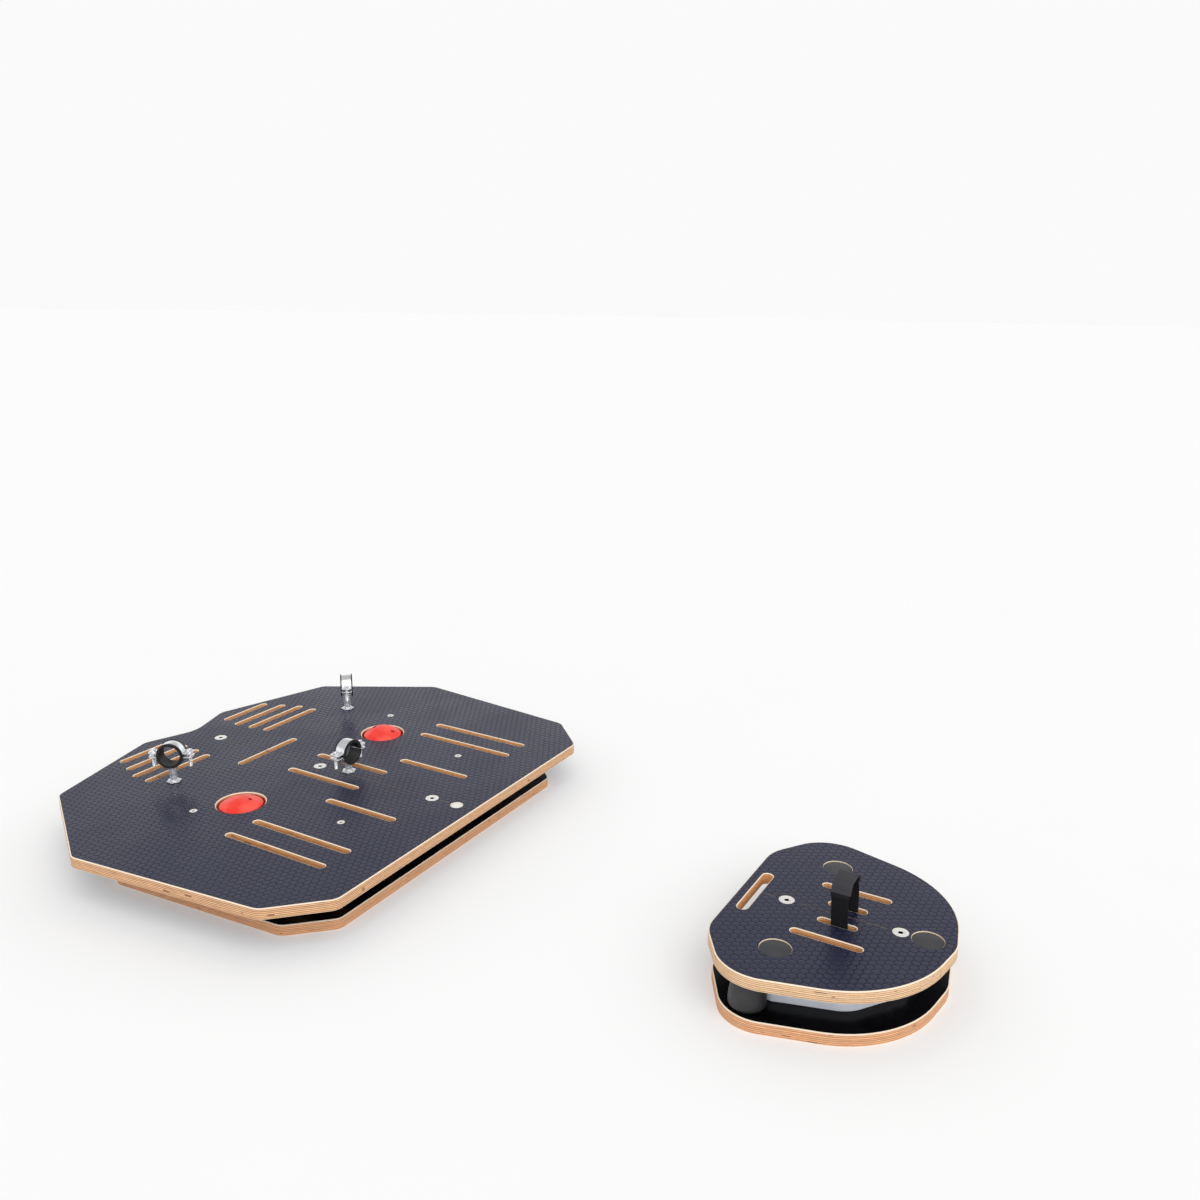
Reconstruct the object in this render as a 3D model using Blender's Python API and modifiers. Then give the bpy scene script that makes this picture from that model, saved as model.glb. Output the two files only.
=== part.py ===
"""Rocker plate set for an indoor bicycle trainer.

Two plywood units stand apart on the floor: a large rear one that the trainer is clamped to, and a
small front one that holds the front wheel in a strap. In each, a top board rocks from side to side
on a lengthwise axle over a base board. Air balls level the rear board, rubber bumpers the front one.

Lengths are in metres. +X points forward, +Y to the rider's left and +Z up. The origin is on the
floor, under the middle pivot bolt of the rear unit.
"""
import math

import bmesh
import bpy
from mathutils import Matrix, Vector

# Boards, and what both units share
BOARD = 0.018
GAP = 0.045
TILT = math.radians(5.0)
FIT = 0.0003
MERGE = 0.00001
GROOVE_WIDTH = 0.0015
GROOVE_DEPTH = 0.0008
GROOVE_STOP = 0.018

# How far each unit's boards reach: across from the centre line, back and forward
REAR_HALF_WIDTH = 0.446
REAR_BACK = -0.359
REAR_NOSE = 0.344
REAR_BASE_INSET = 0.072
FRONT_X = 0.966
FRONT_BACK = -0.142
FRONT_NOSE = 0.169
FRONT_BASE_INSET = 0.006

# Board outlines, as corners (x, y, radius) from the rear centre line along the near side
REAR_TOP = (
    (-0.326, 0.0, 0.065),
    (REAR_BACK, -0.093, 0.028),
    (-0.293, -0.320, 0.022),
    (-0.084, -REAR_HALF_WIDTH, 0.025),
    (0.266, -0.408, 0.030),
    (REAR_NOSE, -0.330, 0.025),
)
REAR_BASE = (
    (-0.318, -0.080, 0.020),
    (-0.262, -0.270, 0.022),
    (-0.081, REAR_BASE_INSET - REAR_HALF_WIDTH, 0.022),
    (0.247, -0.350, 0.025),
    (0.309, -0.290, 0.020),
)
FRONT_TOP = (
    (FRONT_BACK, -0.123, 0.070),
    (-0.081, -0.2145, 0.072),
    (0.142, -0.1525, 0.175),
    (FRONT_NOSE, -0.007, 0.046),
)
FRONT_BASE = (
    (FRONT_BACK + FRONT_BASE_INSET, -0.114, 0.045),
    (-0.0775, -0.2135, 0.062),
    (0.140, -0.151, 0.163),
    (FRONT_NOSE - FRONT_BASE_INSET, -0.007, 0.046),
)

# Slots through the top boards: ends of the centre line, drawn on the near side and mirrored
SLOT_WIDTH = 0.0125
REAR_SLOTS = (
    ((0.058, -0.271), (0.264, -0.271)),
    ((0.062, -0.217), (0.265, -0.217)),
    ((0.109, -0.098), (0.255, -0.098)),
    ((-0.038, -0.0375), (0.122, -0.0375)),
    ((-0.211, -0.207), (-0.211, -0.070)),
    ((-0.246, -0.205), (-0.246, -0.065)),
    ((-0.281, -0.191), (-0.281, -0.062)),
    ((-0.318, -0.176), (-0.318, -0.068)),
)
REAR_MIDDLE_SLOT = ((-0.130, -0.070), (-0.130, 0.070))
STRAP_SLOT = ((-0.016, -0.0245), (0.039, -0.0245))
FRONT_SLOTS = (STRAP_SLOT, ((-0.040, -0.070), (0.061, -0.070)))
FRONT_MIDDLE_SLOT = ((-0.119, -0.057), (-0.119, 0.057))
FRONT_MIDDLE_WIDTH = 0.016
SLOT_STEPS = 6

# Pivots
AXLE_RADIUS = 0.005
AXLE_OVERHANG = 0.009
PIVOT_PITCH = 0.256
REAR_BOLTS = (-PIVOT_PITCH, 0.0, PIVOT_PITCH)
FRONT_BOLTS = (-0.071, 0.093)
BLOCK_LENGTH = 0.040
BLOCK_WIDTH = 0.030
BLOCK_DROP = 0.010
SADDLE_WIDTH = 0.036
SADDLE_RISE = 0.012
SADDLE_SPACE = 0.004
EDGE = 0.0015
BOLT_HEAD = 0.011
BOLT_HEAD_DEPTH = 0.0045
BOLT_SHAFT = 0.004
BOLT_LENGTH = 0.028
SOCKET = 0.006
SOCKET_DEPTH = 0.003

# Air balls under the rear board
BALL_X = -0.007
BALL_Y = 0.181
BALL_HOLE = 0.042
BALL_RIM = 0.003
BALL_BULGE = 0.050
BALL_FOOT = 0.036
# By ball: its side, how deep in the hole its skin leaves the wall, and how far its dome stands proud
BALLS = {"near_ball": (-1, 0.005, 0.009), "far_ball": (1, 0.007, 0.014)}

# Stop buffers under the rear board, with the screws that hold them
BUFFERS = {
    "back_near": (-0.051, -0.243),
    "back_far": (-0.054, 0.261),
    "front_near": (0.185, -0.148),
    "front_far": (0.186, 0.168),
}
BUFFER_RADIUS = 0.0125
BUFFER_CHAMFER = 0.002
STOP_SPACE = 0.0005
SCREW_HEAD = 0.006
SCREW_HEAD_DEPTH = 0.0032
SCREW_SHAFT = 0.0025
SCREW_LENGTH = 0.028
SCREW_SOCKET = 0.0035
SCREW_SOCKET_DEPTH = 0.002

# Spirit level in the rear board
LEVEL_X = 0.308
LEVEL_RADIUS = 0.0105
LEVEL_HEIGHT = 0.011
LEVEL_WALL = 0.002
LENS = 0.0035
TICK = (0.320, 0.331)

# Tube clamps on the rear board: x, y, height of the ring's centre, direction of the tube in degrees
CLAMPS = (
    (-0.170, -0.182, 0.0525, -59.0),
    (0.061, 0.009, 0.040, 0.0),
    (-0.154, 0.244, 0.052, 43.0),
)
TUBE_RADIUS = 0.0175
LINING = 0.0022
LINING_WIDTH = 0.024
LINING_SLIT = math.radians(3.0)
BAND = 0.002
BAND_WIDTH = 0.020
EAR_REACH = 0.038
EAR_GAP = 0.005
EAR_SCREW = 0.0315
EAR_SCREW_RADIUS = 0.003
EAR_HEAD_RADIUS = 0.005
EAR_HEAD_HEIGHT = 0.004
EAR_SCREW_LENGTH = 0.028
BOSS_RADIUS = 0.007
BOSS_LOW = 0.0115
STUD_RADIUS = 0.004
STUD_IN_BOSS = 0.006
STUD_IN_BOARD = 0.012
LOCK_NUT_RADIUS = 0.0065
LOCK_NUT_HEIGHT = 0.004
FLANGE_RADIUS = 0.0125
FLANGE_THICKNESS = 0.002
FLANGE_NUT_RADIUS = 0.0075
FLANGE_NUT_HEIGHT = 0.006

# Front unit
SLAB = 0.014
SLAB_OUTLINE = (
    (-0.100, -0.085, 0.020),
    (-0.043, -0.153, 0.020),
    (0.063, -0.1215, 0.057),
    (0.118, -0.047, 0.020),
)
SLAB_WINDOW_SPACE = 0.003
BUMPERS = ((-0.0595, -0.171), (-0.0595, 0.171))
BUMPER_FOOT = 0.026
BUMPER_TOP = 0.0205
BUMPER_SPACE = 0.002
BUMPER_EDGE = 0.002
INLAYS = ((-0.0415, -0.1236), (-0.036, 0.127), (0.130, 0.0))
INLAY_RADIUS = 0.0215
INLAY_THICKNESS = 0.003
INLAY_RECESS = 0.0012
FRONT_TICKS = ((-0.136, -0.131), (0.158, 0.163))

# Strap for the front wheel, a closed loop of webbing
STRAP_X = 0.015
STRAP_WIDTH = 0.025
STRAP = 0.003
STRAP_FOOT = (0.025, 0.005)
# Bends of the strap over the board, from the far side to the near one: y, height, radius
STRAP_BENDS = (
    (0.020, 0.036, 0.060),
    (0.006, 0.068, 0.012),
    (-0.028, 0.068, 0.012),
    (-0.037, 0.0495, 0.007),
)

# Heights worked out from the boards; those of the top boards are measured from the axle
BASE_TOP = BOARD
AXIS_Z = BOARD + GAP / 2
UNDER = GAP / 2
DECK_TOP = GAP / 2 + BOARD
BAND_INNER = TUBE_RADIUS + LINING + FIT
BAND_OUTER = BAND_INNER + BAND

# Fineness of round shapes, and how far a cutter runs past a face
ARC_STEP = math.radians(10.0)
TIGHTEST = 0.002
ROUND = 16
WIDE_ROUND = 32
BAND_STEPS = 14
DOME_STEPS = 4
SWELL_STEPS = 7
BUMPER_STEPS = 4
SMOOTH_ANGLE = math.radians(35.0)
CUT_PAST = 0.002


def clear_scene():
    for obj in list(bpy.data.objects):
        bpy.data.objects.remove(obj)


def new_collection(name):
    made = bpy.data.collections.new(name)
    bpy.context.scene.collection.children.link(made)
    return made


def new_material(name, colour, roughness, metallic=0.0):
    made = bpy.data.materials.new(name)
    made.use_nodes = True
    shader = made.node_tree.nodes["Principled BSDF"]
    shader.inputs["Base Color"].default_value = (*colour, 1.0)
    shader.inputs["Roughness"].default_value = roughness
    shader.inputs["Metallic"].default_value = metallic
    return made


def new_empty(name, parent, location, turn=0.0):
    empty = bpy.data.objects.new(name, None)
    parts.objects.link(empty)
    empty.parent = parent
    empty.location = location
    empty.rotation_euler.z = turn
    return empty


def new_part(name, mesh, material, parent, location):
    """Adds a named piece; its location is measured from its parent."""
    obj = bpy.data.objects.new(name, mesh)
    parts.objects.link(obj)
    obj.parent = parent
    obj.location = location
    mesh.materials.append(material)
    mesh.shade_smooth()
    mesh.set_sharp_from_angle(angle=SMOOTH_ANGLE)
    return obj


def arc(centre, radius, start, end, steps):
    """Points along an arc, both ends included."""
    x, y = centre
    turns = [start + (end - start) * k / steps for k in range(steps + 1)]
    return [(x + radius * math.cos(turn), y + radius * math.sin(turn)) for turn in turns]


def circle(centre, radius, steps):
    return arc(centre, radius, 0.0, 2 * math.pi, steps)[:-1]


def mirrored(near):
    """Corners of a whole outline from those of its near side; one on the centre line stays single."""
    far = [(x, -y, radius) for x, y, radius in reversed(near) if y != 0]
    return list(near) + far


def directions(corners, index):
    """Unit vectors along the two edges that meet at a corner, and the turn between them."""
    here = Vector(corners[index][:2])
    before = (here - Vector(corners[index - 1][:2])).normalized()
    after = (Vector(corners[(index + 1) % len(corners)][:2]) - here).normalized()
    turn = math.atan2(before.cross(after), before.dot(after))
    return here, before, after, turn


def rounded(corners):
    """Closed outline through corners (x, y, radius), with an arc at each."""
    points = []
    for index, (_, _, radius) in enumerate(corners):
        here, before, _, turn = directions(corners, index)
        start = here - before * radius * math.tan(abs(turn) / 2)
        inward = Vector((-before.y, before.x)) * math.copysign(radius, turn)
        steps = max(2, round(abs(turn) / ARC_STEP))
        for k in range(steps + 1):
            spoke = Matrix.Rotation(turn * k / steps, 2) @ -inward
            points.append(tuple(start + inward + spoke))
    return points


def inset(corners, distance):
    """The same corners drawn in by a distance, their arcs about the same centres."""
    drawn = []
    for index, (_, _, radius) in enumerate(corners):
        here, before, after, turn = directions(corners, index)
        left = Vector((-before.y, before.x)) + Vector((-after.y, after.x))
        moved = here + left * distance / (1 + before.dot(after))
        drawn.append((moved.x, moved.y, max(radius - math.copysign(distance, turn), TIGHTEST)))
    return drawn


def slot(ends, width):
    """Outline of a slot with round ends, from the ends of its centre line."""
    start, end = Vector(ends[0]), Vector(ends[1])
    along = (end - start).normalized() * width / 2
    heading = math.atan2(along.y, along.x)
    quarter = math.pi / 2
    front = arc(end - along, width / 2, heading - quarter, heading + quarter, SLOT_STEPS)
    back = arc(start + along, width / 2, heading + quarter, heading + 3 * quarter, SLOT_STEPS)
    return front + back


def both_sides(slots):
    return [tuple((x, side * y) for x, y in ends) for ends in slots for side in (1, -1)]


def plate(outlines, thickness):
    """Mesh of a flat plate on z = 0; the outlines after the first are holes in it."""
    curve = bpy.data.curves.new("outline", "CURVE")
    curve.dimensions = "2D"
    curve.fill_mode = "BOTH"
    curve.extrude = thickness / 2
    for outline in outlines:
        spline = curve.splines.new("POLY")
        spline.points.add(len(outline) - 1)
        for point, (x, y) in zip(spline.points, outline):
            point.co = (x, y, 0.0, 1.0)
        spline.use_cyclic_u = True
    drawn = bpy.data.objects.new("outline", curve)
    bpy.context.scene.collection.objects.link(drawn)
    graph = bpy.context.evaluated_depsgraph_get()
    mesh = bpy.data.meshes.new_from_object(drawn.evaluated_get(graph))
    bpy.data.objects.remove(drawn)
    shape = bmesh.new()
    shape.from_mesh(mesh)
    bmesh.ops.remove_doubles(shape, verts=shape.verts, dist=MERGE)
    bmesh.ops.translate(shape, verts=shape.verts, vec=(0.0, 0.0, thickness / 2))
    bmesh.ops.recalc_face_normals(shape, faces=shape.faces)
    shape.to_mesh(mesh)
    shape.free()
    return mesh


def add_cone(shape, x, y, low, high, radius_low, radius_high, steps):
    """Adds an upright cone or cylinder between two heights to a bmesh."""
    place = Matrix.Translation((x, y, (low + high) / 2))
    bmesh.ops.create_cone(shape, cap_ends=True, segments=steps, radius1=radius_low,
                          radius2=radius_high, depth=high - low, matrix=place)


def add_box(shape, low, high):
    """Adds a box between two corners to a bmesh."""
    low, high = Vector(low), Vector(high)
    size = high - low
    place = Matrix.Translation((low + high) / 2) @ Matrix.Diagonal((*size, 1.0))
    bmesh.ops.create_cube(shape, size=1.0, matrix=place)


def mesh_from(shape, name):
    mesh = bpy.data.meshes.new(name)
    shape.to_mesh(mesh)
    shape.free()
    return mesh


def box(low, high):
    shape = bmesh.new()
    add_box(shape, low, high)
    return mesh_from(shape, "box")


def turned(profile):
    """Mesh of the line that a Screw modifier turns: (radius, height) down the outer side."""
    mesh = bpy.data.meshes.new("profile")
    points = [(radius, 0.0, height) for radius, height in profile]
    closed = profile[0][0] > 0
    edges = [(k, k + 1) for k in range(len(points) - 1)]
    if closed:
        edges.append((len(points) - 1, 0))
    mesh.from_pydata(points, edges, [])
    return mesh


def turned_part(name, profile, material, parent, location, steps=ROUND):
    """A turned piece; a profile that starts off the axis is a closed ring."""
    obj = new_part(name, turned(profile), material, parent, location)
    turn = obj.modifiers.new("turn", "SCREW")
    turn.steps = steps
    turn.render_steps = steps
    turn.use_merge_vertices = True
    turn.merge_threshold = MERGE
    return obj


def bevel_edges(obj, width):
    bevel = obj.modifiers.new("edges", "BEVEL")
    bevel.width = width
    bevel.segments = 1
    bevel.limit_method = "ANGLE"


def new_cutter(name, mesh, parent):
    """A cutter in its parent's own coordinates."""
    tool = bpy.data.objects.new(name, mesh)
    cutters.objects.link(tool)
    tool.parent = parent
    tool.hide_render = True
    tool.display_type = "WIRE"
    return tool


def combine(target, tool, operation="DIFFERENCE"):
    step = target.modifiers.new(tool.name, "BOOLEAN")
    step.operation = operation
    step.solver = "EXACT"
    step.object = tool


def head_profile(head, head_depth, shaft, length):
    """Countersunk screw with its flat top at z = 0."""
    return [(0.0, 0.0), (head, 0.0), (shaft, -head_depth), (shaft, -length), (0.0, -length)]


def add_countersink(shape, x, y, top, head, head_depth, shaft):
    """Adds the seat of a countersunk head, a cone carried on past the board's face and the bore."""
    slope = (head - shaft) / head_depth
    narrow = (shaft + FIT) / 2
    low = top - head_depth - narrow / slope
    add_cone(shape, x, y, low, top + CUT_PAST, narrow, head + FIT + slope * CUT_PAST, ROUND)


def add_socket(obj, width, depth):
    """Cuts a hexagon socket into a screw head whose top is at z = 0."""
    shape = bmesh.new()
    add_cone(shape, 0.0, 0.0, -depth, CUT_PAST, width / math.sqrt(3), width / math.sqrt(3), 6)
    combine(obj, new_cutter(obj.name + "_socket", mesh_from(shape, "socket"), obj))


def axle_bore(name, length, parent, x):
    """Cutter for the hole that an axle passes through."""
    shape = bmesh.new()
    place = Matrix.Translation((x, 0.0, 0.0)) @ Matrix.Rotation(math.pi / 2, 4, "Y")
    radius = AXLE_RADIUS + FIT
    bmesh.ops.create_cone(shape, cap_ends=True, segments=ROUND, radius1=radius, radius2=radius,
                          depth=length, matrix=place)
    return new_cutter(name, mesh_from(shape, "bore"), parent)


def axle_rod(name, ends):
    shape = bmesh.new()
    middle = (ends[0] + ends[1]) / 2
    place = Matrix.Rotation(math.pi / 2, 4, "Y")
    bmesh.ops.create_cone(shape, cap_ends=True, segments=ROUND, radius1=AXLE_RADIUS,
                          radius2=AXLE_RADIUS, depth=ends[1] - ends[0], matrix=place)
    new_part(name, mesh_from(shape, "rod"), steel, None, (middle, 0.0, AXIS_Z))


def pivot_block(name, x, tilt, bore):
    """Block under the top board that hangs on the axle and takes the pivot bolt."""
    half = BLOCK_LENGTH / 2
    mesh = box((-half, -BLOCK_WIDTH / 2, -BLOCK_DROP), (half, BLOCK_WIDTH / 2, UNDER - FIT))
    block = new_part(name, mesh, black_nylon, tilt, (x, 0.0, 0.0))
    bevel_edges(block, EDGE)
    combine(block, bore)
    shape = bmesh.new()
    add_cone(shape, 0.0, 0.0, DECK_TOP - BOLT_LENGTH - FIT, UNDER + CUT_PAST,
             BOLT_SHAFT + FIT, BOLT_SHAFT + FIT, ROUND)
    combine(block, new_cutter(name + "_bolt_hole", mesh_from(shape, "hole"), block))


def saddle(name, ends, foot, bore):
    """Block on the base, between two pivot blocks, that carries the axle."""
    middle = (ends[0] + ends[1]) / 2
    half = (ends[1] - ends[0] - BLOCK_LENGTH) / 2 - SADDLE_SPACE
    mesh = box((-half, -SADDLE_WIDTH / 2, foot), (half, SADDLE_WIDTH / 2, AXIS_Z + SADDLE_RISE))
    block = new_part(name, mesh, black_nylon, None, (middle, 0.0, 0.0))
    bevel_edges(block, EDGE)
    combine(block, bore)


def pivot_bolt(name, x, tilt):
    profile = head_profile(BOLT_HEAD, BOLT_HEAD_DEPTH, BOLT_SHAFT, BOLT_LENGTH)
    bolt = turned_part(name, profile, steel, tilt, (x, 0.0, DECK_TOP))
    add_socket(bolt, SOCKET, SOCKET_DEPTH)


def cut_grooves(board, spans):
    """Engraved centre line, as spans of x, in a board's top face."""
    shape = bmesh.new()
    for start, end in spans:
        add_box(shape, (start, -GROOVE_WIDTH / 2, BOARD - GROOVE_DEPTH),
                (end, GROOVE_WIDTH / 2, BOARD + CUT_PAST))
    combine(board, new_cutter(board.name + "_grooves", mesh_from(shape, "grooves"), board))


def rear_base():
    new_part("rear_base_board", plate([rounded(mirrored(REAR_BASE))], BOARD), film, None, (0, 0, 0))


def rear_axle():
    reach = BLOCK_LENGTH / 2 + AXLE_OVERHANG
    axle_rod("rear_axle_rod", (REAR_BOLTS[0] - reach, REAR_BOLTS[-1] + reach))
    length = REAR_BOLTS[-1] - REAR_BOLTS[0] + 4 * reach
    bore = axle_bore("rear_axle_bore", length, rear_tilt, (REAR_BOLTS[0] + REAR_BOLTS[-1]) / 2)
    spans = list(zip(REAR_BOLTS, REAR_BOLTS[1:]))
    for name, ends in zip(("rear_axle_saddle_back", "rear_axle_saddle_front"), spans):
        saddle(name, ends, BASE_TOP + FIT, bore)
    for name, x in zip(("back", "middle", "front"), REAR_BOLTS):
        pivot_block("rear_pivot_block_" + name, x, rear_tilt, bore)
        pivot_bolt("rear_pivot_bolt_" + name, x, rear_tilt)


def rear_deck():
    """Top board with its slots, ball holes, seats for the screw heads, level and clamp studs."""
    holes = [slot(ends, SLOT_WIDTH) for ends in both_sides(REAR_SLOTS)]
    holes.append(slot(REAR_MIDDLE_SLOT, SLOT_WIDTH))
    holes += [circle((BALL_X, side * BALL_Y), BALL_HOLE, WIDE_ROUND) for side in (-1, 1)]
    holes += [circle((x, 0.0), BOLT_SHAFT + FIT, ROUND) for x in REAR_BOLTS]
    holes += [circle((x, y), SCREW_SHAFT + FIT, ROUND) for x, y in BUFFERS.values()]
    mesh = plate([rounded(mirrored(REAR_TOP))] + holes, BOARD)
    deck = new_part("rear_top_board", mesh, film, rear_tilt, (0.0, 0.0, UNDER))
    spans = [(a + GROOVE_STOP, b - GROOVE_STOP) for a, b in zip(REAR_BOLTS, REAR_BOLTS[1:])]
    spans.append((REAR_BOLTS[-1] + GROOVE_STOP, LEVEL_X - LEVEL_RADIUS - 2 * GROOVE_WIDTH))
    spans.append(TICK)
    cut_grooves(deck, spans)

    shape = bmesh.new()
    for x in REAR_BOLTS:
        add_countersink(shape, x, 0.0, BOARD, BOLT_HEAD, BOLT_HEAD_DEPTH, BOLT_SHAFT)
    for x, y in BUFFERS.values():
        add_countersink(shape, x, y, BOARD, SCREW_HEAD, SCREW_HEAD_DEPTH, SCREW_SHAFT)
    for side in (-1, 1):
        add_cone(shape, BALL_X, side * BALL_Y, BOARD - BALL_RIM - CUT_PAST, BOARD + CUT_PAST,
                 BALL_HOLE - CUT_PAST, BALL_HOLE + BALL_RIM + CUT_PAST, WIDE_ROUND)
    add_cone(shape, LEVEL_X, 0.0, BOARD - LEVEL_HEIGHT - FIT, BOARD + CUT_PAST,
             LEVEL_RADIUS + FIT, LEVEL_RADIUS + FIT, WIDE_ROUND)
    for x, y, _, _ in CLAMPS:
        add_cone(shape, x, y, BOARD - STUD_IN_BOARD - FIT, BOARD + CUT_PAST,
                 STUD_RADIUS + FIT, STUD_RADIUS + FIT, ROUND)
    combine(deck, new_cutter("rear_top_pockets", mesh_from(shape, "pockets"), deck))


def ball(name, side, contact, dome):
    """Soft air ball, pinched between the base and its hole, with a dome on top."""
    neck = BALL_HOLE - FIT
    half = GAP / 2 - FIT
    rise = contact + dome
    crown = (neck ** 2 + rise ** 2) / (2 * rise)
    top = BASE_TOP + GAP + BOARD + dome
    profile = []
    for k in range(DOME_STEPS + 1):
        angle = math.asin(neck / crown) * k / DOME_STEPS
        profile.append((crown * math.sin(angle), top - crown * (1 - math.cos(angle))))
    swell = math.acos((neck - BALL_FOOT) / (BALL_BULGE - BALL_FOOT))
    for k in range(SWELL_STEPS + 1):
        angle = swell - (swell + math.pi / 2) * k / SWELL_STEPS
        radius = BALL_FOOT + (BALL_BULGE - BALL_FOOT) * math.cos(angle)
        profile.append((radius, AXIS_Z + half * math.sin(angle)))
    profile.append((0.0, BASE_TOP + FIT))
    turned_part(name, profile, red_rubber, None, (BALL_X, side * BALL_Y, 0.0), WIDE_ROUND)


def buffer_bottom(y):
    """Height over the axle at which a buffer's outer edge meets the base at the tilt limit."""
    reach = (abs(y) + BUFFER_RADIUS) * math.sin(TILT)
    return (reach - GAP / 2 + STOP_SPACE) / math.cos(TILT)


def stop_buffer(name, x, y):
    """Rubber stop under the top board, and the countersunk screw that holds it from above."""
    low = buffer_bottom(y)
    high = UNDER - FIT
    bottom = DECK_TOP - SCREW_LENGTH - FIT
    hole = SCREW_SHAFT + FIT
    profile = [(0.0, bottom), (hole, bottom), (hole, high), (BUFFER_RADIUS, high),
               (BUFFER_RADIUS, low + BUFFER_CHAMFER), (BUFFER_RADIUS - BUFFER_CHAMFER, low),
               (0.0, low)]
    turned_part("stop_buffer_" + name, profile, rubber, rear_tilt, (x, y, 0.0))
    profile = head_profile(SCREW_HEAD, SCREW_HEAD_DEPTH, SCREW_SHAFT, SCREW_LENGTH)
    screw = turned_part("buffer_screw_" + name, profile, steel, rear_tilt, (x, y, DECK_TOP))
    add_socket(screw, SCREW_SOCKET, SCREW_SOCKET_DEPTH)


def spirit_level():
    """Round level, flush with the board: a white cup and its clear lens."""
    floor = LEVEL_HEIGHT - LENS - FIT
    inner = LEVEL_RADIUS - LEVEL_WALL
    profile = [(0.0, floor), (inner, floor), (inner, LEVEL_HEIGHT), (LEVEL_RADIUS, LEVEL_HEIGHT),
               (LEVEL_RADIUS, 0.0), (0.0, 0.0)]
    base = DECK_TOP - LEVEL_HEIGHT
    turned_part("level_cup", profile, white_plastic, rear_tilt, (LEVEL_X, 0.0, base))
    profile = [(0.0, LENS), (inner - FIT, LENS), (inner - FIT, 0.0), (0.0, 0.0)]
    turned_part("level_lens", profile, clear, rear_tilt, (LEVEL_X, 0.0, DECK_TOP - LENS))


def half_band(side):
    """Outline of half a clamp band with its ears: side is 1 above the split and -1 below it."""
    low = EAR_GAP / 2
    high = low + BAND
    start = math.asin(low / BAND_INNER)
    inner = arc((0.0, 0.0), BAND_INNER, start, math.pi - start, BAND_STEPS)
    start = math.asin(high / BAND_OUTER)
    outer = arc((0.0, 0.0), BAND_OUTER, math.pi - start, start, BAND_STEPS)
    points = [(EAR_REACH, low)] + inner + [(-EAR_REACH, low), (-EAR_REACH, high)] + outer
    points.append((EAR_REACH, high))
    return [(x, side * y) for x, y in points]


def across_tube(obj, width, height):
    """Stands a plate up across the tube, centred on the clamp's swivel."""
    obj.rotation_euler = (math.pi / 2, 0.0, math.pi / 2)
    obj.location = (-width / 2, 0.0, height)


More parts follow.
